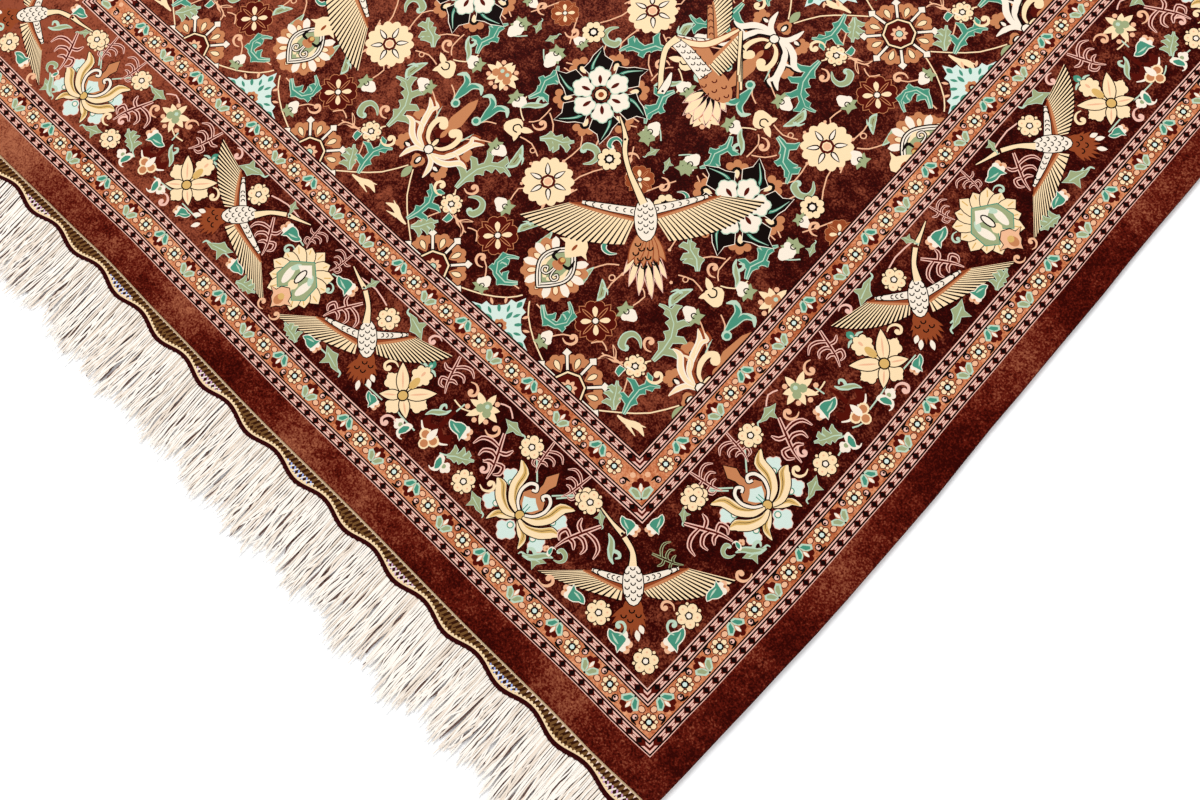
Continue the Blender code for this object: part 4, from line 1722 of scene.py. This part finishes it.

# %% [markdown]
# ## The clouded ground
#
# Stroked pile lies over in patches, some towards the light and some away from it, and this sheen is
# painted into the colour. Two soft noises, one of about 90 mm and one of about 9 mm, move the brown
# between a dark and a warm tone, partly the pile's own uneven tone and partly painted sheen, and a
# third at the size of a tuft breaks up what is left. A painted sheen also lightens the pile towards the
# left long edge.

# %% Make a clouded yarn
def clouded_yarn(name, dark, middle, light, painted_left_sheen=0.0, patch=11.0, fine_part=0.5):
    """Cut silk pile in soft clouds, partly its own uneven tone and partly painted sheen, with a painted
    sheen that lightens it towards the left long edge.
    """
    made = silk_yarn(name, middle)
    tree = made.node_tree
    shader = tree.nodes["Principled BSDF"]
    place = add_node(tree, "ShaderNodeTexCoord")
    # the noise clouds are partly the pile's own uneven tone and partly painted sheen of nap that lies
    # over
    wide, fine, grain = (
        add_node(tree, "ShaderNodeTexNoise", None, {"Scale": scale, "Detail": detail},
                 {"Vector": place.outputs["Object"]})
        for scale, detail in ((patch, 2.0), (110.0, 3.0), (700.0, 1.0)))
    both_noises = add_node(tree, "ShaderNodeMix", {"data_type": "FLOAT"}, {0: fine_part},
                           {2: wide.outputs["Fac"], 3: fine.outputs["Fac"]})
    all_noises = add_node(tree, "ShaderNodeMix", {"data_type": "FLOAT"}, {0: 0.36},
                          {2: both_noises.outputs[0], 3: grain.outputs["Fac"]})
    # painted sheen: the colour is lightened towards the left long edge, at negative X, where the nap
    # catches the light
    apart = add_node(tree, "ShaderNodeSeparateXYZ", None, None, {"Vector": place.outputs["Object"]})
    painted_left_sheen_ramp = add_node(tree, "ShaderNodeMapRange", {"interpolation_type": "SMOOTHSTEP"},
                    {"From Min": 0.1, "From Max": -0.5, "To Min": 0.0, "To Max": painted_left_sheen},
                    {"Value": apart.outputs["X"]})
    total = add_node(tree, "ShaderNodeMath", {"operation": "ADD"}, None,
                     {0: all_noises.outputs[0], 1: painted_left_sheen_ramp.outputs["Result"]})
    ramp = add_node(tree, "ShaderNodeValToRGB", None, None, {"Fac": total.outputs[0]})
    ramp.color_ramp.elements[0].position = 0.40
    ramp.color_ramp.elements[0].color = dye(dark)
    ramp.color_ramp.elements[1].position = 0.66
    ramp.color_ramp.elements[1].color = dye(light)
    extra = ramp.color_ramp.elements.new(0.5)
    extra.color = dye(middle)
    tree.links.new(ramp.outputs["Color"], shader.inputs["Base Color"])
    return made


print("widest cloud about", round(1000 / 11.0), "mm")

# %% [markdown]
# ## The dyes
#
# Twenty plain dyes and three clouded grounds. They were chosen by comparing mean colours of the picture
# with those of the render, since light and camera change a dye's look.

# %% The dye list
YARNS = {
    "cream": "#e9cfa8", "ivory": "#e6d9c8", "peach": "#dfae8c", "salmon": "#bb7f58",
    "pink": "#e0b3a4", "teal": "#4c8c76", "mint": "#b3c6b1", "sage": "#98a07a",
    "sky": "#c8d7cd", "black": "#150806", "wine": "#561409", "gold": "#cda868",
    "rust": "#904a2a", "olive": "#6e4d22", "lilac": "#c8a2c0", "blue": "#98a8dc",
    "umber": "#3c1d0c", "khaki": "#755431", "garnet": "#3a0a0d", "blush": "#e6cdbf",
}
yarn = {name: silk_yarn(name, code) for name, code in YARNS.items()}
# each clouded ground carries painted sheen in its clouds, and the number after its three dyes is the
# painted sheen that lightens it towards the left long edge
yarn["ground"] = clouded_yarn("brown ground", "#2b0301", "#450a04", "#914e37", 0.17)
yarn["band"] = clouded_yarn("salmon band", "#a05634", "#bd7550", "#dda27c", 0.05)
yarn["edge"] = clouded_yarn("plain brown edge", "#3a0601", "#641c0f", "#a8684c", 0.1, 9.0, 0.3)
print(len(yarn), "yarns")

# %% [markdown]
# ## Turn a cut panel into a woven piece
#
# Only one quarter of the rug shows well. The others are taken to be its mirror images, as
# is usual for such a rug, so what is drawn once is mirrored about both middle lines. The
# near and the far half of the rug are separate pieces, so that none gets too heavy. Each triangle takes the slot of its yarn, and its corners go through `plan`, which
# bends the straight drawing to the wandering edges of the real rug.

# %% Build a mesh from triangles of the plan
def make_piece(name, places, faces, colours, height):
    """A level piece at a height, from places in mm of the plan, faces up."""
    mesh = bpy.data.meshes.new(name)
    corners = [plan(u / 1000, v / 1000) + (height,) for u, v in places]
    turned = []
    for face in faces:
        a, b, c = (corners[k] for k in face)
        area = (b[0] - a[0]) * (c[1] - a[1]) - (b[1] - a[1]) * (c[0] - a[0])
        turned.append(tuple(face) if area > 0 else tuple(face[::-1]))
    mesh.from_pydata(corners, [], turned)
    used = sorted(set(colours))
    for colour in used:
        mesh.materials.append(yarn[colour])
    mesh.polygons.foreach_set("material_index", [used.index(colour) for colour in colours])
    piece = bpy.data.objects.new(name, mesh)
    bpy.context.scene.collection.objects.link(piece)
    add_flat_uv(piece)
    return piece


def add_flat_uv(piece):
    """A UV map that looks straight down on the piece, filling the square."""
    mesh = piece.data
    layer = mesh.uv_layers.new(name="OFBake")
    spots = numpy.empty(len(mesh.vertices) * 3)
    mesh.vertices.foreach_get("co", spots)
    spots = spots.reshape(-1, 3)[:, :2]
    corner_of = numpy.empty(len(mesh.loops), int)
    mesh.loops.foreach_get("vertex_index", corner_of)
    low = spots.min(axis=0)
    size = (spots.max(axis=0) - low).max()
    layer.uv.foreach_set("vector", ((spots - low) / size)[corner_of].ravel())


def mirrored(panels, far):
    """Places, faces and colours of the quarter panels and their mirror image across the rug."""
    places, faces, colours = [], [], []
    for panel_places, panel_faces, panel_colours in panels:
        for across in (False, True):
            start = len(places)
            for u, v in panel_places:
                places.append((1000 * PILE_WIDTH - u if across else u,
                               1000 * PILE_LENGTH - v if far else v))
            faces += [tuple(int(k) + start for k in face) for face in panel_faces]
            colours += panel_colours
    return places, faces, colours


print("a quarter is mirrored about u =", 500 * PILE_WIDTH, "and v =", 500 * PILE_LENGTH)

# %% [markdown]
# ## Weld the mirror line
#
# A mirrored half has its own copy of each point on the mirror line. In edit mode Merge by
# Distance joins them, as it would by hand.

# %% Run a step in edit mode
def pick(piece):
    """Make one piece the only selected one, and the active one."""
    bpy.ops.object.select_all(action="DESELECT")
    piece.select_set(True)
    bpy.context.view_layer.objects.active = piece


def mesh_step(piece, operator, **settings):
    """Select the whole mesh in edit mode and run one operator on it."""
    pick(piece)
    bpy.ops.object.mode_set(mode="EDIT")
    bpy.ops.mesh.select_all(action="SELECT")
    operator(**settings)
    bpy.ops.object.mode_set(mode="OBJECT")
    piece.select_set(False)


pattern_pieces = []


def weave_pieces(name, quarter):
    """The near and far pieces of a zone of the pattern."""
    for end in ("near", "far"):
        piece = make_piece(name + "_" + end, *mirrored(quarter, end == "far"), PILE_TOP)
        mesh_step(piece, bpy.ops.mesh.remove_doubles, threshold=0.000005)
        pattern_pieces.append(piece)
        print(piece.name, len(piece.data.polygons), "triangles")


# %% [markdown]
# ## The outer borders
#
# From the plain edge inwards come a guard stripe, the narrow salmon border and a second
# guard stripe. The lines of a guard are ribbons, its blocks a run along each side.

# %% Draw guards and narrow borders
def corner_outline(first, last):
    """An L round one quarter, from first to last mm in from the pile edge."""
    middle_u, middle_v = 500 * PILE_WIDTH, 500 * PILE_LENGTH
    return [(first, first), (middle_u, first), (middle_u, last), (last, last),
            (last, middle_v), (first, middle_v)]


def corner_line(colour, offset, wide):
    """A thin line that turns the corner, offset mm in from the pile edge."""
    low, high = offset - wide / 2, offset + wide / 2
    outline = corner_outline(low, high)
    return [(colour, stepped(outline))]


# the lines of a guard: yarn, mm from its middle, width
GUARD_LINES = (("black", -5.0, 1.0), ("pink", -4.0, 1.0), ("black", -2.9, 1.3), ("wine", 0, 4.6),
               ("black", 2.9, 1.3), ("pink", 4.0, 1.0), ("black", 5.0, 1.0))
GUARD_BLOCK = 9.95


def guard(middle):
    """One guard stripe, its middle line so many mm in from the pile edge."""
    done = []
    for colour, offset, wide in GUARD_LINES:
        done += corner_line(colour, middle + offset, wide)
    start = middle + 10.1
    for length, flip_it in ((500 * PILE_WIDTH - start, False), (500 * PILE_LENGTH - start, True)):
        count = round(length / GUARD_BLOCK)
        run = moved(guard_run(count, length / count), start, middle)
        done += flipped(run) if flip_it else run
    done += [("black", disc(2.4, start, middle, 4)), ("black", disc(2.4, middle, start, 4))]
    block = ((-2.3, -2.3), (6.4, -2.3), (4.6, -0.7), (-0.7, -0.7), (-0.7, 4.6), (-2.3, 6.4))
    heart = ((0.9, 0.9), (4.6, 0.9), (6.4, 2.3), (2.3, 2.3), (2.3, 6.4), (0.9, 4.6))
    return done + [("pink", [(middle + x, middle + y) for x, y in shape])
                   for shape in (block, heart)]


def narrow_border(first, last, middle, start, halves):
    """The salmon band with its run of flowers and leaves along both sides."""
    done = [("band", stepped(corner_outline(first, last)))]
    for half_length, count_halves, flip_it in ((500 * PILE_WIDTH, halves[0], False),
                                               (500 * PILE_LENGTH, halves[1], True)):
        pitch = (half_length - start) / (count_halves / 2)
        run = moved(band_run(math.ceil(count_halves / 2), pitch), start, middle)
        done += flipped(run) if flip_it else run
    return done


tell("guard", guard(30.15))

# %% [markdown]
# ## Weave the outer borders
#
# All borders are measured in mm in from the pile edge. The salmon band goes down first, and
# the two guards cover its edges.

# %% Weave the outer borders
outer = narrow_border(first=35.6, last=52.6, middle=44.2, start=44.5, halves=(23, 40))
outer += guard(30.15) + guard(57.2)
outer_panel = weave(corner_outline(26.0, 62.0), "ground", outer)
weave_pieces("outer_borders", [outer_panel])

# %% [markdown]
# ## Weave the inner borders
#
# Inside the wide border the same bands follow again. At the mitre a larger leaf stands on
# the corner with a spiral and a spot on either side, as a flower would be cut in two there.

# %% Weave the inner borders
inner = narrow_border(first=158.6, last=176.6, middle=167.6, start=196.0, halves=(16, 32))
inner += moved(split_leaf("sage", "mint"), 168.5, 168.5, turn=135, size=1.15)
beside = moved(spiral_spot(), 183.0, 163.6, tall=-1)
beside += moved([("peach", disc(2.4, sides=7))], 180.5, 172.3)
inner += beside + flipped(beside)
inner += guard(153.6) + guard(182.0)
inner_panel = weave(corner_outline(149.0, 188.0), "ground", inner)
weave_pieces("inner_borders", [inner_panel])

# %% [markdown]
# ## The wide border
#
# The border's repeat starts on a lotus and ends on a round palmette. Half of it is charted
# in a table; the other half is its mirror image. On the short side one half fits between
# the corner and the middle. The long side takes two, each stretched by about 6 percent. A
# bird with spread wings sits across the mitre of each corner.

# %% Read a chart
def chart_rows(text):
    """The rows of a chart as dictionaries, named by its first line."""
    lines = [line.split() for line in text.strip().splitlines()]
    rows = []
    for line in lines[1:]:
        row = dict(zip(lines[0], [line[0]] + [float(x) for x in line[1:]]))
        rows.append(row)
    return rows


def chart_stems(text, wide):
    """The stems of a chart: a colour and the marks its line runs through."""
    done = []
    for line in text.strip().splitlines()[1:]:
        colour, *marks = line.split()
        line_marks = [tuple(float(x) for x in mark.split(",")) for mark in marks]
        done.append(stroke(colour, line_marks, wide, 2))
    return done


def put_motif(row, x, y):
    """The motif that a chart row names, turned and sized as it says, at x, y."""
    return moved(MOTIFS[row["motif"]], x, y, row["turn"], row["size"], row["flip"])


print("first row of the corner chart:", chart_rows(BORDER_CORNER)[0])

# %% [markdown]
# ## Lay out the wide border
#
# Each side is drawn along a straight line from its corner. Small things close round the
# lotus are mirrored to its corner side as well. The corner's own chart comes last.

# %% Lay out the wide border
LOTUS_AT = {"short": 223.5, "long": 225.0}
REPEAT = {"short": 276.5, "long": 292.5}


def border_run(side):
    """All shapes of one side of the wide border, along x from the corner."""
    stretch = REPEAT[side] / REPEAT["short"]
    half = chart_stems(BORDER_STEMS, 1.3)
    for row in chart_rows(BORDER_RUN):
        drawn = put_motif(row, row["t"], row["v"])
        shift = row["t"] * (stretch - 1)
        half += mapped(drawn, lambda x, y: (x + shift, y))
    start = LOTUS_AT[side]
    done = mapped(half, lambda x, y: (start + x, y))
    around = [(colour, points) for colour, points in half
              if 0 < centre(points)[0] < 34 and max(x for x, y in points) < 45]
    done += mapped(around, lambda x, y: (start - x, y))
    if side == "long":
        turn_at = start + REPEAT[side]
        beyond = [(colour, points) for colour, points in done
                  if min(x for x, y in points) > start - 10]
        done += mapped(beyond, lambda x, y: (2 * turn_at - x, y))
    return done


wide = border_run("short") + flipped(border_run("long"))
for row in chart_rows(BORDER_CORNER):
    drawn = put_motif(row, row["u"], row["v"])
    wide += drawn
    if row["twin"]:
        wide += flipped(drawn)
wide_panel = weave(corner_outline(62.0, 149.0), "ground", wide)
weave_pieces("wide_border", [wide_panel])

# %% [markdown]
# ## The field
#
# The field is one cell, mirrored over and over like paper folded for a cut-out. A cell
# runs from the axis of the eye palmettes to the axis of the lilies, and from a row of
# wheels to a row of blooms. The rows stand over each other by half a repeat. The birds
# belong to no cell: they are laid over it.

# %% Lay out the field
middle_u, middle_v = 500 * PILE_WIDTH, 500 * PILE_LENGTH
FIELD_FIRST = 188.0
AXIS = (FIELD_FIRST + middle_u) / 2
THIRD_ROW = FIELD_FIRST + 2 * ((middle_v - FIELD_FIRST) / 3)
SIDES = (FIELD_FIRST, middle_u)
FIELD_LINES = [
    {"row": 0, "start": FIELD_FIRST, "way": 1, "eye": (AXIS,), "lily": SIDES},
    {"row": 1, "start": THIRD_ROW, "way": -1, "eye": SIDES, "lily": (AXIS,)},
    {"row": 2, "start": THIRD_ROW, "way": 1, "eye": (AXIS,), "lily": SIDES},
]


def field_cell(first):
    """The shapes of one cell. Only the first row keeps all its leaves in their own yarn."""
    done = chart_stems(FIELD_STEMS, 1.2)
    for row in chart_rows(FIELD_CELL):
        if not first:
            row["motif"] = ROW_SWAPS.get(row["motif"], row["motif"])
        done += put_motif(row, row["x"], row["y"])
    return done


field = []
for line in FIELD_LINES:
    cell = field_cell(line["row"] == 0)
    for axis in line["eye"]:
        for hand in (-1, 1):
            field += mapped(cell, lambda x, y: (axis + hand * x, line["start"] + line["way"] * y))
for line in FIELD_LINES:
    for axis in line["eye"]:
        field += moved(MOTIFS["bigstar"], axis, line["start"])
        field += moved(MOTIFS["eye"], axis, line["start"] + line["way"] * 65, tall=line["way"])
    for axis in line["lily"]:
        kind = "lily" if line["row"] == 0 else "darklily"
        field += moved(MOTIFS[kind], axis, line["start"] + line["way"] * 72, tall=line["way"])
# the round flower that the long bird's tail would cover is left out
field = [(colour, points) for colour, points in field
         if math.dist(centre(points), (286.5, 307)) > 17]
field += moved(MOTIFS["longbird"], 314, 333) + moved(MOTIFS["turning"], 378, 472)
# what lies wholly outside the quarter is dropped before the cutting, which takes longest
field = [(colour, points) for colour, points in field
         if min(x for x, y in points) < middle_u and min(y for x, y in points) < middle_v
         and max(x for x, y in points) > FIELD_FIRST and max(y for x, y in points) > FIELD_FIRST]
field_outline = [(FIELD_FIRST, FIELD_FIRST), (middle_u, FIELD_FIRST), (middle_u, middle_v),
                 (FIELD_FIRST, middle_v)]
field_panel = weave(field_outline, "ground", field)
weave_pieces("field", [field_panel])

# %% [markdown]
# ## Ground cloth and plain edge
#
# Under the pile lies the ground cloth, which shows past it as the selvedge and the end
# strips. It is modelled as a grid, bent to the outline of the rug and given its thickness.
# The plain brown edge band is a grid too, rolled into a ring: its outer rows go down over
# a soft shoulder to the ground cloth, as clipped pile does.

# %% Helpers for grids
def grid(name, columns, rows, place):
    """A grid whose corners are put where place(column, row) says."""
    bpy.ops.object.select_all(action="DESELECT")
    bpy.ops.mesh.primitive_grid_add(x_subdivisions=columns, y_subdivisions=rows, size=2.0)
    piece = bpy.context.object
    piece.name = name
    piece.data.name = name
    for vertex in piece.data.vertices:
        column = round((vertex.co.x + 1) / 2 * columns)
        row = round((vertex.co.y + 1) / 2 * rows)
        vertex.co = place(column, row)
    piece.select_set(False)
    return piece


print("pile stands", round(1000 * (PILE_TOP - GROUND_TOP), 1), "mm over the cloth")

# %% [markdown]
# ## Ground cloth
#
# A silk rug's warp and weft make a thin firm cloth. It could be a box, but then its edges
# would be straight; a bent grid that is thickened downwards keeps the waves.

# %% Ground cloth
GROUND_COLUMNS = 150
GROUND_ROWS = 48


def ground_place(column, row):
    """A mark of the cloth; its first and last row follow the waves of the end strips."""
    u = -SELVEDGE + (PILE_WIDTH + 2 * SELVEDGE) * column / GROUND_COLUMNS
    if row == 0:
        v = -strip_width(u)
    elif row == GROUND_ROWS:
        v = PILE_LENGTH + strip_width(u)
    else:
        v = PILE_LENGTH * (row - 1) / (GROUND_ROWS - 2)
    x, y = plan(u, v)
    return x, y, GROUND_TOP


ground_cloth = grid("ground_cloth", GROUND_COLUMNS, GROUND_ROWS, ground_place)
mesh_step(ground_cloth, bpy.ops.mesh.normals_make_consistent, inside=False)
if ground_cloth.data.polygons[0].normal.z < 0:
    ground_cloth.data.flip_normals()
thick = ground_cloth.modifiers.new("cloth thickness", "SOLIDIFY")
thick.thickness = GROUND_TOP
thick.offset = -1.0
bpy.context.view_layer.objects.active = ground_cloth
bpy.ops.object.modifier_apply(modifier=thick.name)
ground_cloth.data.materials.append(yarn["edge"])
print("ground cloth", [round(x, 4) for x in ground_cloth.dimensions])

# %% [markdown]
# ## Plain edge band
#
# The outermost 26 mm carry no pattern. Five rings of marks make the wall, the clipped
# shoulder and the level top.

# %% Plain edge band
EDGE_ROWS = [{"in": 0.0, "up": GROUND_TOP - 0.0002}, {"in": 0.0, "up": PILE_TOP - PILE_ROUND},
             {"in": 0.00035, "up": PILE_TOP - 0.00035}, {"in": PILE_ROUND, "up": PILE_TOP},
             {"in": 0.0260, "up": PILE_TOP}]
STEPS_SHORT, STEPS_LONG = 50, 81


def edge_place(column, row):
    """A mark of the ring; columns run right, far, left and near in turn."""
    inset, height = EDGE_ROWS[row]["in"], EDGE_ROWS[row]["up"]
    low_u, high_u = inset, PILE_WIDTH - inset
    low_v, high_v = inset, PILE_LENGTH - inset
    step = column % (2 * STEPS_SHORT + 2 * STEPS_LONG)
    if step < STEPS_LONG:
        u, v = low_u, low_v + (high_v - low_v) * step / STEPS_LONG
    elif step < STEPS_LONG + STEPS_SHORT:
        u, v = low_u + (high_u - low_u) * (step - STEPS_LONG) / STEPS_SHORT, high_v
    elif step < 2 * STEPS_LONG + STEPS_SHORT:
        u, v = high_u, high_v - (high_v - low_v) * (step - STEPS_LONG - STEPS_SHORT) / STEPS_LONG
    else:
        u = high_u - (high_u - low_u) * (step - 2 * STEPS_LONG - STEPS_SHORT) / STEPS_SHORT
        v = low_v
    x, y = plan(u, v)
    return x, y, height


edge_band = grid("plain_edge_band", 2 * STEPS_SHORT + 2 * STEPS_LONG, 4, edge_place)
mesh_step(edge_band, bpy.ops.mesh.remove_doubles, threshold=0.00001)
top_face = max(edge_band.data.polygons, key=lambda face: face.area)
if top_face.normal.z < 0:
    edge_band.data.flip_normals()
edge_band.data.materials.append(yarn["edge"])
add_flat_uv(edge_band)
pick(edge_band)
bpy.ops.object.shade_smooth_by_angle(angle=math.radians(60))
edge_band.select_set(False)
print("edge band", len(edge_band.data.polygons), "faces")

# %% [markdown]
# ## Embroider the end strips
#
# The strip's drawing is cut like a panel of the pile and laid 0.3 mm over the cloth. The
# far strip is the near one mirrored.

# %% Embroider the end strips
strip_region = [(1000 * PILE_WIDTH, 0.0), (0.0, 0.0)] + strip_line(0.0, 1000.0, 0.0)
strip_panel = weave(strip_region, "umber", strip_stitches())
strips = []
for end in ("near", "far"):
    places, faces, colours = strip_panel
    if end == "far":
        places = [(u, 1000 * PILE_LENGTH - v) for u, v in places]
    strip = make_piece("end_strip_" + end, places, faces, colours, GROUND_TOP + 0.0003)
    strips.append(strip)
    print(strip.name, len(strip.data.polygons), "triangles")

# %% [markdown]
# ## The fringe
#
# The fringe is the rug's own warp: ivory silk threads, drawn 1.4 mm thick, that run out past the chain,
# fall the two millimetres to the floor, and lie in loose wavy bundles, some crossing their neighbours.
# The threads that lie deepest are dark brown, painted shade for the shadow in the gaps between the
# bundles. Each thread is a three-sided tube with a flat side on top; a rounder one would only add faces
# that no one sees.

# %% Lay one thread
THREADS_IN_LOCK = 10
DEEP_THREADS = 3
THREAD_RADIUS = 0.0007
THREAD_MARKS = 7


def lock_reach(end, u):
    """Length and sideways lean of the lock at u, from the slow swings of its fringe."""
    reach, lean = LOCK_LENGTH, 0.0
    for row in LOCK_SWINGS[end]:
        turn = math.tau * (u * 1000 - row["start"]) / row["pitch"]
        reach += row["longer"] / 1000 * math.sin(turn)
        lean += row["lean"] / 1000 * math.cos(1.3 * turn)
    return reach, lean


def thread_line(end, lock, number, chance):
    """Marks of one thread of a lock, from inside the chain to its loose tip."""
    pitch = PILE_WIDTH / LOCKS
    middle = pitch * (lock + 0.5)
    place = (7 * number) % THREADS_IN_LOCK
    root = middle + pitch * ((place + chance.random()) / THREADS_IN_LOCK - 0.5)
    root = min(max(root, 0.0012), PILE_WIDTH - 0.0012)
    reach, lean = lock_reach(end, middle)
    deep = number < DEEP_THREADS
    reach += chance.gauss(0.004, 0.0036) - (0.009 if deep else 0.0)
    stray = chance.random() < 0.16 and not deep
    aim = lean + (middle - root) * 0.3 + chance.gauss(0, 0.0022 if not stray else 0.007)
    wave = chance.gauss(0, 0.0009)
    phase = chance.uniform(0, math.tau)
    beat = chance.uniform(8.0, 15.0)
    level = 0.0 if deep else chance.uniform(0.0004, 0.0016)
    marks = []
    for k in range(THREAD_MARKS):
        t = k / (THREAD_MARKS - 1)
        u = root + aim * t ** 1.4 + wave * math.sin(phase + beat * t) * min(1.0, 3 * t)
        out = strip_width(root) - 0.0004 + (reach + 0.0026) * t
        fall = math.exp(-((t * reach / 0.007) ** 1.6))
        height = THREAD_RADIUS + 0.00005 + level * (0.5 + 0.5 * (1 - t))
        height += fall * (GROUND_TOP - THREAD_RADIUS * 1.6)
        marks.append((*past_end(end, u, out), height))
    return marks


print("reach and lean at 0.5 m:", lock_reach("near", 0.5))

# %% [markdown]
# ## Thin tubes
#
# A curve with a bevel would also make a thread, but one mesh of plain tubes is lighter, and
# its faces can be counted.

# %% Make the tubes
def tubes(name, lines, radii, sides=3):
    """One mesh of thin tubes along lines, closed at both ends.

    radii are used mark by mark along each line, over and over. Each tube has a flat side
    on top.
    """
    corners, faces = [], []
    for marks in lines:
        first = len(corners)
        for k, (x, y, z) in enumerate(marks):
            a = marks[max(k - 1, 0)]
            b = marks[min(k + 1, len(marks) - 1)]
            size = math.hypot(b[0] - a[0], b[1] - a[1]) or 1.0
            nx, ny = -(b[1] - a[1]) / size, (b[0] - a[0]) / size
            r = radii[k % len(radii)]
            for s in range(sides):
                turn = math.tau * ((s + 0.5) / sides + 0.25)
                corners.append((x + nx * r * math.cos(turn), y + ny * r * math.cos(turn),
                                z + r * math.sin(turn)))
        for k in range(len(marks) - 1):
            for s in range(sides):
                p, q = first + k * sides + s, first + k * sides + (s + 1) % sides
                faces.append((p, p + sides, q + sides, q))
        faces.append(tuple(first + s for s in range(sides)))
        end = first + (len(marks) - 1) * sides
        faces.append(tuple(end + s for s in reversed(range(sides))))
    mesh = bpy.data.meshes.new(name)
    mesh.from_pydata(corners, [], faces)
    piece = bpy.data.objects.new(name, mesh)
    bpy.context.scene.collection.objects.link(piece)
    return piece


print("a thread has", THREAD_MARKS, "marks,", 3 * (THREAD_MARKS - 1) + 2, "faces")

# %% [markdown]
# ## Silk warp threads
#
# Undyed silk is ivory and some threads are creamier; the deep ones are dark brown, painted shade for
# the gaps between the bundles. Each fringe has its own seed, so the two ends differ and every run gives
# the same rug.

# %% Silk warp threads
def warp_silk(name, code):
    """Twisted silk warp of one shade."""
    made = bpy.data.materials.new(name)
    made.use_nodes = True
    shader = made.node_tree.nodes["Principled BSDF"]
    shader.inputs["Base Color"].default_value = dye(code)
    shader.inputs["Roughness"].default_value = 0.5
    shader.inputs["IOR"].default_value = SILK_IOR
    shader.inputs["Specular IOR Level"].default_value = 0.3
    return made


thread_silks = [warp_silk("twisted ivory silk warp", "#f6eee4"),
                warp_silk("twisted cream silk warp", "#e8dacb"),
                # the dark brown of the deep threads is painted shade for the gaps between the bundles
                warp_silk("deep silk warp in painted shade", "#6d5148")]
thread_radii = [THREAD_RADIUS] * (THREAD_MARKS - 1) + [THREAD_RADIUS * 0.45]
fringes = []
for end, seed in (("near", 11), ("far", 23)):
    chance = random.Random(seed)
    lines, shades = [], []
    for lock in range(LOCKS):
        for number in range(THREADS_IN_LOCK):
            lines.append(thread_line(end, lock, number, chance))
            # slot 2, for the deep threads, is painted shade; slot 1 is the creamier silk
            shades.append(2 if number < DEEP_THREADS else 1 if chance.random() < 0.3 else 0)
    threads = tubes("fringe_threads_" + end, lines, thread_radii)
    for silk in thread_silks:
        threads.data.materials.append(silk)
    faces_each = 3 * (THREAD_MARKS - 1) + 2
    slots = [shade for shade in shades for k in range(faces_each)]
    threads.data.polygons.foreach_set("material_index", slots)
    mesh_step(threads, bpy.ops.mesh.normals_make_consistent, inside=False)
    fringes.append(threads)
    print(threads.name, len(lines), "threads", len(threads.data.polygons), "faces")

# %% [markdown]
# ## The chain that locks the last row
#
# A dark wine chain stitch runs along the wave of each end strip and holds the last row
# of weaving. It stands up a little, so it is a knotty cord: a tube that swells and narrows
# with each stitch.

# %% Lay the chains
CHAIN_STITCH = 0.0048
CHAIN_RADII = [0.0011, 0.0019, 0.0019]
chains = []
for end in ("near", "far"):
    count = round(PILE_WIDTH / (CHAIN_STITCH / 3))
    line = []
    for k in range(count + 1):
        u = 0.0006 + (PILE_WIDTH - 0.0012) * k / count
        out = strip_width(u) - 0.0017
        line.append((*past_end(end, u, out), GROUND_TOP + 0.0003))
    chain = tubes("chain_stitch_" + end, [line], CHAIN_RADII, sides=6)
    chain.data.materials.append(yarn["garnet"])
    mesh_step(chain, bpy.ops.mesh.normals_make_consistent, inside=False)
    chains.append(chain)
    print(chain.name, len(chain.data.polygons), "faces")

# %% [markdown]
# ## Join the pieces to the model
#
# Everything rides on the one body of the rug and stands for the plain solids, which are hidden.

# %% Ride, replace and finish
woven = pattern_pieces + [ground_cloth, edge_band] + strips + chains
for piece in woven + fringes:
    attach(piece, "root")
for piece in woven:
    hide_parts("rug_woven")
for piece, end in zip(fringes, ("near", "far")):
    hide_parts("fringe_" + end)
print(len(woven), "woven pieces,", len(fringes), "fringes")

# %% [markdown]
# ## Paint the floor
#
# The floor is a studio's matt white paint, a little below pure white so that the shadow
# still shows on it.

# %% Paint the floor
floor_paint = bpy.data.materials.new("matt white floor paint")
floor_paint.use_nodes = True
shader = floor_paint.node_tree.nodes["Principled BSDF"]
shader.inputs["Base Color"].default_value = dye("#fbfbfb")
shader.inputs["Roughness"].default_value = 0.8
floor.data.materials.append(floor_paint)
print("floor paint:", floor_paint.name)

# %% [markdown]
# ## Triangle count
#
# The triangles of all the added pieces are counted. Across, the dressed rug's box differs from the
# plain model's by less than a tenth of a millimetre. At the two ends the boxes differ by 8 and 9 mm,
# where loose threads reach past the solid locks.

# %% Count the triangles
total = 0
for piece in woven + fringes:
    piece.data.calc_loop_triangles()
    total += len(piece.data.loop_triangles)
print("triangles in all:", total)
